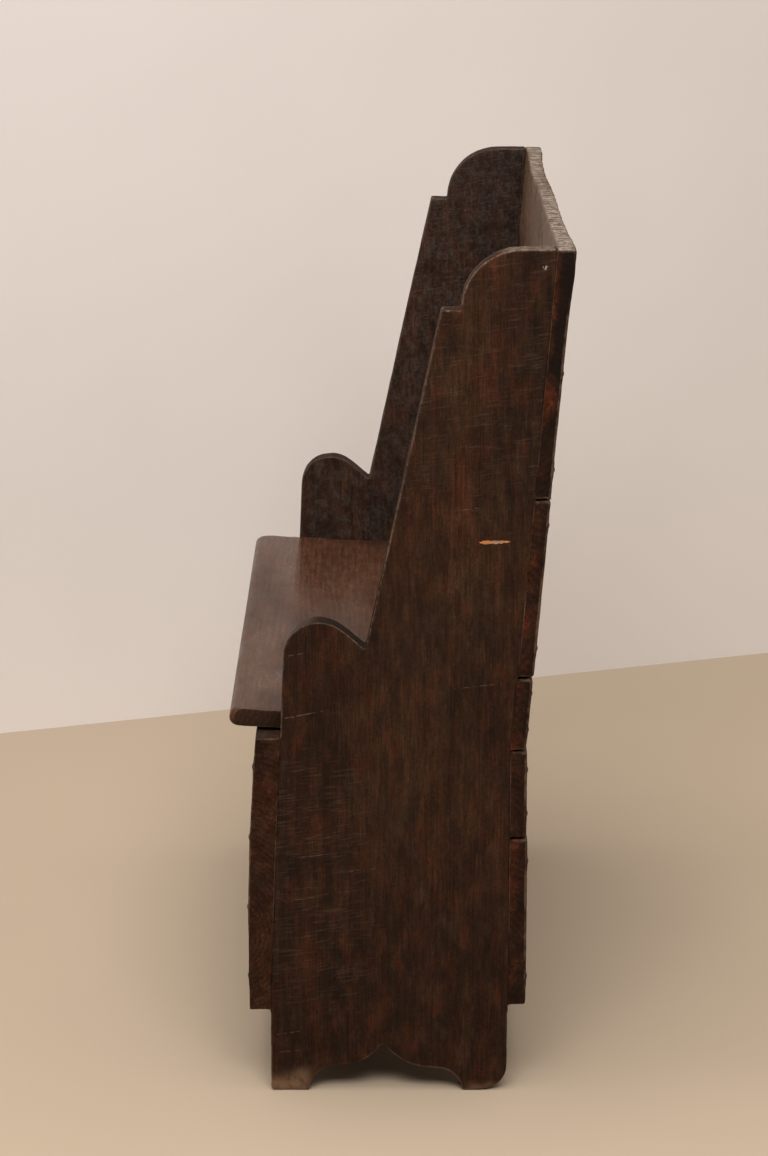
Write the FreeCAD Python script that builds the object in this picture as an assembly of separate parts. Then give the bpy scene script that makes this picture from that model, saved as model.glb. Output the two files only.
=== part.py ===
import FreeCAD, Part
import math
import os

# A plank-built hall bench: two shaped end boards, a boarded back, and a seat that is the lid of a box.
# Lengths are in millimetres. X runs along the bench, Z is up, and the front faces -Y.
# While the pieces are made, Y is 0 at the front edge of the feet and grows to the rear. The last step
# moves Y to the middle of the bench's depth, so the origin is under its centre, on the floor.

# Overall sizes
bench_width = 900.0
bench_height = 1000.0
end_board_thickness = 30.0
foot_depth = 278.5

# Outline of an end board above the feet, seen from the side
front_lean_deg = 2.3
arm_peak_height = 572.5
arm_front_radius = 41.0
arm_rear_radius = 45.0
arm_rear_slope_deg = 41.0
crease_from_front = 111.5
wing_radius = 68.0
wing_flat = 39.5
step_width = 21.5
arris_chamfer = 1.8

# Feet and the ogee arch between them
front_foot_width = 46.5
front_foot_rounding = 5.0
rear_foot_width = 54.0
rear_foot_rounding = 30.0
arch_front_shelf_height = 32.5
arch_rear_shelf_height = 28.0
arch_front_flank_start = 88.5
arch_rear_flank_from_rear = 87.5
arch_peak_from_front = 131.5
arch_peak_radius = 2.5
arch_height = 57.5

# Boarded back, numbered from the top. Boards 5 and 4 stand upright, the rest lean, and board 1
# takes the width that is left.
back_lean_deg = 4.6
back_bottom_height = 107.0
back_board_5_width = 206.0
back_board_4_width = 106.0
back_board_3_width = 87.0
back_board_2_width = 209.0
back_board_5_thickness = 21.5
back_board_4_thickness = 20.0
back_board_3_thickness = 18.5
back_board_2_thickness = 19.5
back_board_1_thickness = 19.5
back_joint_gap = 0.8

# Front panel, a cupped plank nailed over the front edges of the end boards
panel_bottom_height = 101.0
panel_thickness_bottom = 24.5
panel_thickness_middle = 31.0
panel_thickness_top = 28.5
panel_arris_radius = 2.5
panel_to_lid_gap = 2.5

# Seat lid and the fixed rail behind it, both in a plane that falls to the rear
seat_nose_height = 461.7
seat_tilt_deg = 3.0
lid_overhang = 46.5
lid_thickness = 22.0
lid_nose_top_radius = 11.0
lid_nose_bottom_radius = 8.0
lid_end_gap = 1.0
lid_rest_gap = 0.3
lid_to_rail_gap = 2.0
rail_depth = 46.0

# Battens under the lid
batten_width = 45.0
batten_thickness = 20.0
batten_from_centre = 320.0
batten_front_from_nose = 78.0
batten_rear_from_hinge = 26.0
batten_end_bevel = 8.0

# Seat bearers, floor cleats and floor boards of the box
bearer_thickness = 22.0
bearer_height = 34.0
cleat_thickness = 22.0
cleat_height = 26.0
cleat_above_panel_bottom = 3.0
strip_bevel = 5.0
floor_thickness = 18.0
floor_end_gap = 0.5
floor_joint_gap = 1.5

# Butt hinges between the lid's rear edge and the rail
hinge_from_centre = 215.0
hinge_length = 64.0
hinge_leaf_thickness = 2.0
hinge_leaf_height = 15.0
hinge_leaf_gap = 0.6
hinge_pin_radius = 2.25
hinge_pin_clearance = 0.06
hinge_barrel_wall = 2.2
hinge_barrel_above_seat = 0.3
hinge_knuckle_gap = 0.4
hinge_leaf_to_barrel_gap = 0.5
hinge_pin_end_radius = 3.2
hinge_pin_end_thickness = 1.2
mortise_clearance = 0.15
screw_radius = 1.5
screw_head_radius = 3.1
screw_head_height = 1.5
screw_tip_radius = 0.4
screw_length = 15.0
screw_sides = 12
screw_slot_width = 0.8
screw_slot_depth = 0.6
screw_spacing = 22.0
screw_below_seat = 9.0

# Forged nails
nail_shank = 3.8
nail_tip = 1.4
nail_head_width = 9.5
nail_head_top_width = 2.6
nail_head_height = 1.2
nail_head_sides = 6
nail_hole_clearance = 0.05
panel_nail_length = 60.0
back_nail_length = 55.0
strip_nail_length = 43.0
floor_nail_length = 38.0
rail_nail_length = 46.0
batten_nail_length = 34.0
panel_nails_at_each_end = 4
panel_nail_margin = 38.0
strip_nail_margin = 60.0
back_nail_margin = 32.0
rail_nail_from_front = 26.0
floor_nail_margin = 34.0
batten_nail_margin = 30.0

# Worked out from the sizes above
outer_x = bench_width / 2
inner_x = outer_x - end_board_thickness
end_board_middle_x = outer_x - end_board_thickness / 2
front_slope = math.tan(math.radians(front_lean_deg))
front_cos = math.cos(math.radians(front_lean_deg))
seat_slope = math.tan(math.radians(seat_tilt_deg))
seat_cos = math.cos(math.radians(seat_tilt_deg))
seat_sin = math.sin(math.radians(seat_tilt_deg))
back_slope = math.tan(math.radians(back_lean_deg))
back_cos = math.cos(math.radians(back_lean_deg))
back_sin = math.sin(math.radians(back_lean_deg))
back_bend_height = back_bottom_height + back_board_5_width + back_board_4_width
step_height = bench_height - wing_radius
hinge_barrel_radius = hinge_pin_radius + hinge_barrel_wall
pin_above_seat = hinge_barrel_radius + hinge_barrel_above_seat
along_x = FreeCAD.Vector(1, 0, 0)

pieces = {}


# Lines that several pieces share

def front_y(z):
    """The front edge of an end board at a height. It stands upright below the panel."""
    return max(0.0, z - panel_bottom_height) * front_slope


def rear_y(z):
    """The rear edge of an end board at a height, which the back boards lie on."""
    return foot_depth + max(0.0, z - back_bend_height) * back_slope


# The seat's own frame has its second value along the seat from the nose, and its third square to it.
# The tilt brings the lower half of the nose forward, so the frame starts that much further back.
nose_forward = (
    (lid_thickness - lid_nose_bottom_radius) * seat_sin + lid_nose_bottom_radius * (1 - seat_cos)
)
seat_front_y = nose_forward - lid_overhang
seat_place = FreeCAD.Placement(
    FreeCAD.Vector(0, seat_front_y, seat_nose_height), FreeCAD.Rotation(along_x, -seat_tilt_deg)
)


def seat_top_z(y):
    """The height of the seat's upper plane at a depth."""
    return seat_nose_height - (y - seat_front_y) * seat_slope


above_bend = (seat_top_z(foot_depth) - back_bend_height) / (1 + back_slope * seat_slope)
seat_depth = (rear_y(back_bend_height + above_bend) - seat_front_y) / seat_cos
rail_front = seat_depth - rail_depth
lid_rear = rail_front - lid_to_rail_gap
pin_from_nose = rail_front - lid_to_rail_gap / 2
panel_rear_y = front_y(seat_nose_height)
panel_top_height = seat_top_z(panel_rear_y) - lid_thickness / seat_cos - panel_to_lid_gap


# Shapes from outlines

def vec(x, y, z):
    return FreeCAD.Vector(x, y, z)


def on_circle(centre, radius, turn_deg):
    """The (y, z) point of a circle at an angle from the rear, turning up."""
    turn = math.radians(turn_deg)
    return (centre[0] + radius * math.cos(turn), centre[1] + radius * math.sin(turn))


def between_on_circle(centre, radius, start, end):
    """The middle of the shorter arc from start to end."""
    middle_turn = math.atan2(
        (start[1] + end[1]) / 2 - centre[1], (start[0] + end[0]) / 2 - centre[0]
    )
    return on_circle(centre, radius, math.degrees(middle_turn))


def arch_flank(low):
    """The arc that starts level at its low point and runs smoothly into the arch's round peak."""
    peak_centre = (arch_peak_from_front, arch_height - arch_peak_radius)
    reach = peak_centre[0] - low[0]
    rise = arch_height - low[1]
    radius = (reach**2 + rise**2) / (2 * rise) - arch_peak_radius
    centre = (low[0], low[1] + radius)
    toward_peak = math.degrees(math.atan2(peak_centre[1] - centre[1], reach))
    meets_peak = on_circle(centre, radius, toward_peak)
    return between_on_circle(centre, radius, low, meets_peak), meets_peak


def extruded(x0, x1, start, steps):
    """A solid from x0 to x1. A step of one (y, z) point is a line, one of two points is an arc."""
    edges = []
    here = vec(x0, start[0], start[1])
    for step in steps:
        points = [vec(x0, y, z) for y, z in step]
        if len(points) == 1:
            edges.append(Part.LineSegment(here, points[0]).toShape())
        else:
            edges.append(Part.Arc(here, points[0], points[1]).toShape())
        here = points[-1]
    return Part.Face(Part.Wire(edges)).extrude(vec(x1 - x0, 0, 0))


def polygon(x0, x1, points):
    """A solid from x0 to x1 with straight sides through (y, z) points."""
    return extruded(x0, x1, points[0], [[point] for point in points[1:] + points[:1]])


def in_seat_frame(shape):
    moved = shape.copy()
    moved.Placement = seat_place.multiply(moved.Placement)
    return moved


def box_space(x0, x1):
    """What lies between the front panel's inner face and the back boards' inner faces."""
    top = seat_nose_height + lid_thickness
    return polygon(
        x0,
        x1,
        [
            (0.0, 0.0),
            (0.0, panel_bottom_height),
            (front_y(top), top),
            (rear_y(top), top),
            (foot_depth, back_bend_height),
            (foot_depth, 0.0),
        ],
    )


def mirrored(shape):
    return shape.mirror(vec(0, 0, 0), along_x)


def add_pair(name, shape):
    """Adds a piece on the right and its mirror image on the left."""
    pieces[name + "_right"] = shape
    pieces[name + "_left"] = mirrored(shape)


# End boards

def end_board():
    """The right end board: ogee foot arch, arm lobe, riser, step and quarter-round wing."""
    top_rear_y = rear_y(bench_height)
    wing_centre = (top_rear_y - wing_flat, step_height)
    wing_front = (wing_centre[0] - wing_radius, step_height)
    arm_centre_z = arm_peak_height - arm_front_radius
    arm_centre = (front_y(arm_centre_z) + arm_front_radius / front_cos, arm_centre_z)
    arm_base = on_circle(arm_centre, arm_front_radius, 180 - front_lean_deg)
    arm_peak = (arm_centre[0], arm_peak_height)
    arm_rear_centre = (arm_peak[0], arm_peak_height - arm_rear_radius)
    arm_rear = on_circle(arm_rear_centre, arm_rear_radius, 90 - arm_rear_slope_deg)
    fall = (crease_from_front - arm_rear[0]) * math.tan(math.radians(arm_rear_slope_deg))
    crease = (crease_from_front, arm_rear[1] - fall)
    sole = 0.0
    rear_rounding_centre = (foot_depth - rear_foot_rounding, rear_foot_rounding)
    rear_corner_centre = (foot_depth - rear_foot_width - arch_rear_shelf_height, sole)
    rear_flank_low = (foot_depth - arch_rear_flank_from_rear, arch_rear_shelf_height)
    front_flank_low = (arch_front_flank_start, arch_front_shelf_height)
    rear_flank_middle, rear_flank_high = arch_flank(rear_flank_low)
    front_flank_middle, front_flank_high = arch_flank(front_flank_low)
    arch_peak = (arch_peak_from_front, arch_height)
    front_corner_centre = (front_foot_width + arch_front_shelf_height, sole)
    front_rounding_centre = (front_foot_rounding, front_foot_rounding)
    steps = [
        [(0.0, panel_bottom_height)],
        [arm_base],
        [on_circle(arm_centre, arm_front_radius, 135), arm_peak],
        [between_on_circle(arm_rear_centre, arm_rear_radius, arm_peak, arm_rear), arm_rear],
        [crease],
        [(wing_front[0] - step_width, step_height)],
        [wing_front],
        [on_circle(wing_centre, wing_radius, 135), (wing_centre[0], bench_height)],
        [(top_rear_y, bench_height)],
        [(foot_depth, back_bend_height)],
        [(foot_depth, rear_foot_rounding)],
        [
            on_circle(rear_rounding_centre, rear_foot_rounding, -45),
            (rear_rounding_centre[0], sole),
        ],
        [(foot_depth - rear_foot_width, sole)],
        [
            on_circle(rear_corner_centre, arch_rear_shelf_height, 45),
            (rear_corner_centre[0], arch_rear_shelf_height),
        ],
        [rear_flank_low],
        [rear_flank_middle, rear_flank_high],
        [arch_peak, front_flank_high],
        [front_flank_middle, front_flank_low],
        [(front_corner_centre[0], arch_front_shelf_height)],
        [
            on_circle(front_corner_centre, arch_front_shelf_height, 135),
            (front_foot_width, sole),
        ],
        [(front_foot_rounding, sole)],
        [on_circle(front_rounding_centre, front_foot_rounding, 225), (0.0, front_foot_rounding)],
    ]
    board = extruded(inner_x, outer_x, (0.0, front_foot_rounding), steps)
    arrises = [edge for edge in board.Edges if edge.BoundBox.XLength < arris_chamfer / 10]
    return board.makeChamfer(arris_chamfer, arrises)


# Back boards

def back_boards():
    """The boards from the lowest up, as (number, lower joint, upper joint, thickness)."""
    boards = []
    low = back_bottom_height
    for number, width, thickness in (
        (5, back_board_5_width, back_board_5_thickness),
        (4, back_board_4_width, back_board_4_thickness),
        (3, back_board_3_width, back_board_3_thickness),
        (2, back_board_2_width, back_board_2_thickness),
    ):
        boards.append((number, low, low + width, thickness))
        low = low + width
    return boards + [(1, low, bench_height, back_board_1_thickness)]


def back_outer_y(z, thickness):
    """The rear face of a back board at a height."""
    if z > back_bend_height:
        return rear_y(z) + thickness / back_cos
    return foot_depth + thickness


def add_back_boards():
    """Five level boards, with open joints between them."""
    for number, low_joint, high_joint, thickness in back_boards():
        low = low_joint + (back_joint_gap / 2 if low_joint > back_bottom_height else 0.0)
        high = high_joint - (back_joint_gap / 2 if high_joint < bench_height else 0.0)
        corners = [
            (rear_y(low), low),
            (rear_y(high), high),
            (back_outer_y(high, thickness), high),
            (back_outer_y(low, thickness), low),
        ]
        pieces["back_board_%d" % number] = polygon(-outer_x, outer_x, corners)


# Front panel

def panel_outer_arc():
    """The bowed outer face of the panel, seen from the side."""
    arc_points = []
    middle_height = (panel_bottom_height + panel_top_height) / 2
    for z, thickness in (
        (panel_bottom_height, panel_thickness_bottom),
        (middle_height, panel_thickness_middle),
        (panel_top_height, panel_thickness_top),
    ):
        arc_points.append((front_y(z) - thickness, z))
    return arc_points


def panel_outer_spot(z):
    """A point on the panel's outer face at a height, and the direction square to the face there."""
    bottom, middle, top = [vec(0, y, height) for y, height in panel_outer_arc()]
    bow = Part.Arc(bottom, middle, top).toShape().Curve
    rise = z - bow.Center.z
    spot = vec(0, bow.Center.y - math.sqrt(bow.Radius**2 - rise**2), z)
    return spot, (spot - bow.Center).normalize()


def front_panel():
    """One plank across the whole front, flat inside and bowed outside."""
    bottom, middle, top = panel_outer_arc()
    inner_bottom = (0.0, panel_bottom_height)
    inner_top = (front_y(panel_top_height), panel_top_height)
    panel = extruded(
        -outer_x, outer_x, inner_bottom, [[bottom], [middle, top], [inner_top], [inner_bottom]]
    )
    outer_arrises = []
    for edge in panel.Edges:
        if edge.BoundBox.XLength > bench_width / 2 and edge.BoundBox.YMax < -panel_arris_radius:
            outer_arrises.append(edge)
    return panel.makeFillet(panel_arris_radius, outer_arrises)


# Seat: lid, rail, battens and bearers

def hinge_mortises(sign, plank_edge):
    """The recesses for the hinge leaves, in the lid with sign -1 and in the rail with sign 1."""
    leaf_outer = pin_from_nose + sign * (hinge_leaf_gap / 2 + hinge_leaf_thickness)
    depth_from = min(plank_edge, leaf_outer + sign * mortise_clearance)
    depth_to = max(plank_edge, leaf_outer + sign * mortise_clearance)
    height = hinge_leaf_height + mortise_clearance
    recess = Part.makeBox(
        hinge_length + 2 * mortise_clearance,
        depth_to - depth_from,
        height,
        vec(hinge_from_centre - hinge_length / 2 - mortise_clearance, depth_from, -height),
    )
    return recess.fuse(mirrored(recess))


def seat_lid():
    """One plank with a rounded nose, recessed at its rear edge for the hinges."""
    half_length = inner_x - lid_end_gap
    top_centre = (lid_nose_top_radius, -lid_nose_top_radius)
    bottom_centre = (lid_nose_bottom_radius, lid_nose_bottom_radius - lid_thickness)
    steps = [
        [(lid_rear, 0.0)],
        [(lid_rear, -lid_thickness)],
        [(bottom_centre[0], -lid_thickness)],
        [on_circle(bottom_centre, lid_nose_bottom_radius, 225), (0.0, bottom_centre[1])],
        [(0.0, top_centre[1])],
        [on_circle(top_centre, lid_nose_top_radius, 135), (top_centre[0], 0.0)],
    ]
    plank = extruded(-half_length, half_length, (top_centre[0], 0.0), steps)
    return in_seat_frame(plank.cut(hinge_mortises(-1, lid_rear)))


def rear_rail():
    """The fixed strip that the lid is hinged to, scribed to the back boards."""
    strip = Part.makeBox(
        2 * inner_x,
        2 * rail_depth,
        lid_thickness + lid_rest_gap,
        vec(-inner_x, rail_front, -lid_thickness - lid_rest_gap),
    )
    strip = in_seat_frame(strip.cut(hinge_mortises(1, rail_front)))
    return strip.common(box_space(-outer_x, outer_x))


def lid_batten():
    """The right batten under the lid, with bevelled ends."""
    front = batten_front_from_nose
    rear = lid_rear - batten_rear_from_hinge
    top = -lid_thickness
    bottom = top - batten_thickness
    corners = [
        (front, top),
        (rear, top),
        (rear, bottom + batten_end_bevel),
        (rear - batten_end_bevel, bottom),
        (front + batten_end_bevel, bottom),
        (front, bottom + batten_end_bevel),
    ]
    half_width = batten_width / 2
    shape = polygon(batten_from_centre - half_width, batten_from_centre + half_width, corners)
    return in_seat_frame(shape)


def bevelled_strip(thickness, low, high, y_from, y_to):
    """A strip along the depth on the right end board, its lower inner arris bevelled."""
    x_in = inner_x - thickness
    points = [
        vec(inner_x, y_from, low),
        vec(inner_x, y_from, high),
        vec(x_in, y_from, high),
        vec(x_in, y_from, low + strip_bevel),
        vec(x_in + strip_bevel, y_from, low),
        vec(inner_x, y_from, low),
    ]
    return Part.Face(Part.makePolygon(points)).extrude(vec(0, y_to - y_from, 0))


def seat_bearer():
    """The right bearer, which carries the lid and the rail."""
    top = -lid_thickness - lid_rest_gap
    strip = bevelled_strip(bearer_thickness, top - bearer_height, top, 0.0, seat_depth * 2)
    return in_seat_frame(strip).common(box_space(0, outer_x))


def floor_cleat():
    """The right cleat, which carries the floor boards."""
    low = panel_bottom_height + cleat_above_panel_bottom
    strip = bevelled_strip(cleat_thickness, low, low + cleat_height, 0.0, foot_depth)
    return strip.common(box_space(0, outer_x))


# Floor of the box

def floor_heights():
    low = panel_bottom_height + cleat_above_panel_bottom + cleat_height
    return low, low + floor_thickness


def add_floor_boards():
    low, high = floor_heights()
    half_length = inner_x - floor_end_gap
    middle = foot_depth / 2
    space = box_space(-outer_x, outer_x)
    for name, y_from, y_to in (
        ("box_floor_front", 0.0, middle - floor_joint_gap / 2),
        ("box_floor_rear", middle + floor_joint_gap / 2, foot_depth),
    ):
        board = Part.makeBox(
            2 * half_length, y_to - y_from, floor_thickness, vec(-half_length, y_from, low)
        )
        pieces[name] = board.common(space)


# Tapered solids with flat sides, for nails and screws

def square_section(width, z):
    half = width / 2
    corners = [(-half, -half), (half, -half), (half, half), (-half, half)]
    return [vec(x, y, z) for x, y in corners]


def round_section(radius, sides, z):
    turns = [2 * math.pi * i / sides for i in range(sides)]
    return [vec(radius * math.cos(turn), radius * math.sin(turn), z) for turn in turns]


def tapered(sections):
    """A solid with flat sides through sections that have as many corners, from the lowest up."""
    faces = [Part.Face(Part.makePolygon(end + end[:1])) for end in (sections[0], sections[-1])]
    for low, high in zip(sections, sections[1:]):
        for i in range(len(low)):
            after = (i + 1) % len(low)
            side = [low[i], low[after], high[after], high[i], low[i]]
            faces.append(Part.Face(Part.makePolygon(side)))
    solid = Part.Solid(Part.Shell(faces))
    if solid.Volume < 0:
        solid.reverse()
    return solid


def turned_to(shape, spot, outward):
    """A copy with its origin at a spot and its Z axis along a direction."""
    moved = shape.copy()
    moved.Placement = FreeCAD.Placement(spot, FreeCAD.Rotation(vec(0, 0, 1), outward))
    return moved


# Hinges, made round the pin with the second value 0 at its axis and the third 0 at the seat's top

def cylinder_along_x(radius, x_from, x_to):
    return Part.makeCylinder(radius, x_to - x_from, vec(x_from, 0, pin_above_seat), along_x)


def hinge_leaf(sign, knuckles, other_knuckles):
    """A leaf with its knuckles. It lies in front of the pin with sign -1 and behind it with 1."""
    near = hinge_leaf_gap / 2
    far = near + hinge_leaf_thickness
    low_y = near if sign > 0 else -far
    half = hinge_length / 2
    leaf = Part.makeBox(
        hinge_length,
        hinge_leaf_thickness,
        hinge_leaf_height + pin_above_seat,
        vec(-half, low_y, -hinge_leaf_height),
    )
    for x_from, x_to in knuckles:
        leaf = leaf.fuse(cylinder_along_x(hinge_barrel_radius, x_from, x_to))
    for x_from, x_to in other_knuckles:
        leaf = leaf.cut(
            cylinder_along_x(
                hinge_barrel_radius + hinge_leaf_to_barrel_gap,
                x_from - hinge_knuckle_gap,
                x_to + hinge_knuckle_gap,
            )
        )
    leaf = leaf.cut(cylinder_along_x(hinge_pin_radius + hinge_pin_clearance, -half, half))
    return leaf.removeSplitter()


def hinge_pin():
    """A round pin, headed over at both ends."""
    half = hinge_length / 2
    end = half + hinge_knuckle_gap / 2
    pin = cylinder_along_x(hinge_pin_radius, -end, end)
    for x_from in (-end - hinge_pin_end_thickness, end):
        head = cylinder_along_x(hinge_pin_end_radius, x_from, x_from + hinge_pin_end_thickness)
        pin = pin.fuse(head)
    return pin.removeSplitter()


def screw():
    """A countersunk screw whose head is flush with Z 0, and the slot to cut in it."""
    solid = tapered(
        [
            round_section(screw_tip_radius, screw_sides, -screw_length),
            round_section(screw_radius, screw_sides, -screw_head_height),
            round_section(screw_head_radius, screw_sides, 0.0),
        ]
    )
    slot = Part.makeBox(
        2 * screw_head_radius,
        screw_slot_width,
        screw_slot_depth,
        vec(-screw_head_radius, -screw_slot_width / 2, -screw_slot_depth),
    )
    return solid, slot


def add_hinges():
    """Two hinges and their screws. The rail leaf has the outer knuckles, the lid leaf the middle."""
    third = hinge_length / 3
    half_gap = hinge_knuckle_gap / 2
    half = hinge_length / 2
    outer = [(-half, -third / 2 - half_gap), (third / 2 + half_gap, half)]
    middle = [(-third / 2 + half_gap, third / 2 - half_gap)]
    solid_screw, slot = screw()
    for body, board, sign, own, other in (
        ("lid", "seat_lid", -1, middle, outer),
        ("rail", "seat_rear_rail", 1, outer, middle),
    ):
        leaf = hinge_leaf(sign, own, other)
        leaf_face = pin_from_nose + sign * hinge_leaf_gap / 2
        outward = vec(0, -sign, 0)
        screws = []
        for side, end in ((-1, "left"), (1, "right")):
            placed_leaf = leaf.copy()
            placed_leaf.translate(vec(side * hinge_from_centre, pin_from_nose, 0))
            for offset in (-screw_spacing, 0.0, screw_spacing):
                spot = vec(side * hinge_from_centre + offset, leaf_face, -screw_below_seat)
                shape = turned_to(solid_screw, spot, outward)
                placed_leaf = placed_leaf.cut(shape)
                pieces[board] = pieces[board].cut(in_seat_frame(shape))
                screws.append(in_seat_frame(shape.cut(turned_to(slot, spot, outward))))
            pieces["hinge_%s_%s_leaf" % (end, body)] = in_seat_frame(placed_leaf)
        pieces["hinge_%s_screws" % body] = Part.makeCompound(screws)
    for side, end in ((-1, "left"), (1, "right")):
        pin = hinge_pin()
        pin.translate(vec(side * hinge_from_centre, pin_from_nose, 0))
        pieces["hinge_%s_pin" % end] = in_seat_frame(pin)


# Nails

def nail_shank_solid(length, clearance):
    tip = square_section(nail_tip + 2 * clearance, -length - clearance)
    return tapered([tip, square_section(nail_shank + 2 * clearance, 0.0)])


def forged_nail(length):
    """A nail whose head sits on Z 0 and whose shank points down."""
    seat = round_section(nail_head_width / 2, nail_head_sides, 0.0)
    crown = round_section(nail_head_top_width / 2, nail_head_sides, nail_head_height)
    return tapered([seat, crown]).fuse(nail_shank_solid(length, 0.0)).removeSplitter()


def drive(name, spots, length, into):
    """Drives nails at (spot, outward direction) pairs and cuts their holes in the pieces named."""
    nail = forged_nail(length)
    hole = nail_shank_solid(length, nail_hole_clearance)
    pieces[name] = Part.makeCompound([turned_to(nail, spot, outward) for spot, outward in spots])
    holes = Part.makeCompound([turned_to(hole, spot, outward) for spot, outward in spots])
    for piece in into:
        pieces[piece] = pieces[piece].cut(holes)


def both_sides(spots):
    """The spots and their mirror images on the left."""
    flipped = []
    for spot, outward in spots:
        flipped.append((vec(-spot.x, spot.y, spot.z), vec(-outward.x, outward.y, outward.z)))
    return spots + flipped


def seat_spots(places, outward):
    """Spots given as (x, along the seat, square to the seat)."""
    turn = seat_place.Rotation
    return [(seat_place.multVec(vec(*place)), turn.multVec(outward)) for place in places]


def drive_panel_nails():
    spots = []
    lowest = panel_bottom_height + panel_nail_margin
    step = (panel_top_height - panel_nail_margin - lowest) / (panel_nails_at_each_end - 1)
    for i in range(panel_nails_at_each_end):
        spot, outward = panel_outer_spot(lowest + i * step)
        spots.append((vec(end_board_middle_x, spot.y, spot.z), outward))
    ends = ["end_board_right", "end_board_left"]
    drive("front_panel_nails", both_sides(spots), panel_nail_length, ["front_panel"] + ends)


def drive_back_nails():
    """Two nails at each end of a back board, and three in the top board."""
    spots = []
    boards = []
    for number, low, high, thickness in back_boards():
        margin = min(back_nail_margin, (high - low) / 4)
        heights = [low + margin, high - margin]
        if number == 1:
            heights.append((low + high) / 2)
        leans = low >= back_bend_height
        outward = vec(0, back_cos, -back_sin) if leans else vec(0, 1, 0)
        for z in heights:
            spots.append((vec(end_board_middle_x, back_outer_y(z, thickness), z), outward))
        boards.append("back_board_%d" % number)
    ends = ["end_board_right", "end_board_left"]
    drive("back_board_nails", both_sides(spots), back_nail_length, boards + ends)


def drive_strip_nails():
    """Nails through the bearers and the cleats into the end boards."""
    depths = (strip_nail_margin, foot_depth / 2, foot_depth - strip_nail_margin)
    inward = vec(-1, 0, 0)
    below = lid_thickness + lid_rest_gap + bearer_height / 2
    places = [(inner_x - bearer_thickness, y - seat_front_y, -below) for y in depths]
    drive(
        "seat_bearer_nails",
        both_sides(seat_spots(places, inward)),
        strip_nail_length,
        ["seat_bearer_right", "seat_bearer_left", "end_board_right", "end_board_left"],
    )
    z = floor_heights()[0] - cleat_height / 2
    spots = [(vec(inner_x - cleat_thickness, y, z), inward) for y in depths]
    drive(
        "floor_cleat_nails",
        both_sides(spots),
        strip_nail_length,
        ["floor_cleat_right", "floor_cleat_left", "end_board_right", "end_board_left"],
    )


def drive_floor_nails():
    top = floor_heights()[1]
    middle = foot_depth / 2
    margin = floor_nail_margin
    depths = (margin, middle - margin, middle + margin, foot_depth - margin)
    x = inner_x - cleat_thickness / 2
    spots = [(vec(x, y, top), vec(0, 0, 1)) for y in depths]
    boards = ["box_floor_front", "box_floor_rear"]
    cleats = ["floor_cleat_right", "floor_cleat_left"]
    drive("box_floor_nails", both_sides(spots), floor_nail_length, boards + cleats)


def drive_rail_nails():
    place = (inner_x - bearer_thickness / 2, rail_front + rail_nail_from_front, 0.0)
    spots = both_sides(seat_spots([place], vec(0, 0, 1)))
    bearers = ["seat_bearer_right", "seat_bearer_left"]
    drive("seat_rail_nails", spots, rail_nail_length, ["seat_rear_rail"] + bearers)


def drive_batten_nails():
    """Nails up through the battens into the lid, from below."""
    front = batten_front_from_nose + batten_nail_margin
    rear = lid_rear - batten_rear_from_hinge - batten_nail_margin
    below = -lid_thickness - batten_thickness
    places = [(batten_from_centre, s, below) for s in (front, (front + rear) / 2, rear)]
    spots = both_sides(seat_spots(places, vec(0, 0, -1)))
    battens = ["lid_batten_right", "lid_batten_left"]
    drive("lid_batten_nails", spots, batten_nail_length, ["seat_lid"] + battens)


# The whole bench

add_pair("end_board", end_board())
pieces["front_panel"] = front_panel()
add_back_boards()
pieces["seat_lid"] = seat_lid()
pieces["seat_rear_rail"] = rear_rail()
add_pair("lid_batten", lid_batten())
add_pair("seat_bearer", seat_bearer())
add_pair("floor_cleat", floor_cleat())
add_floor_boards()
add_hinges()
drive_panel_nails()
drive_back_nails()
drive_strip_nails()
drive_floor_nails()
drive_rail_nails()
drive_batten_nails()

depth_middle = (back_outer_y(bench_height, back_board_1_thickness) - lid_overhang) / 2
os.makedirs("parts", exist_ok=True)
for name, shape in pieces.items():
    placed = shape.copy()
    placed.translate(vec(0, -depth_middle, 0))
    placed.exportStep("parts/%s.step" % name)
    print(name, placed.isValid(), len(placed.Solids), round(placed.Volume), len(placed.Faces))
pin_centre = seat_place.multVec(vec(0, pin_from_nose, pin_above_seat))
print("hinge axis", round(pin_centre.y - depth_middle, 3), round(pin_centre.z, 3))
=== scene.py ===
import math

import bpy
import numpy as np
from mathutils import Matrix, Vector, geometry, noise


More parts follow.
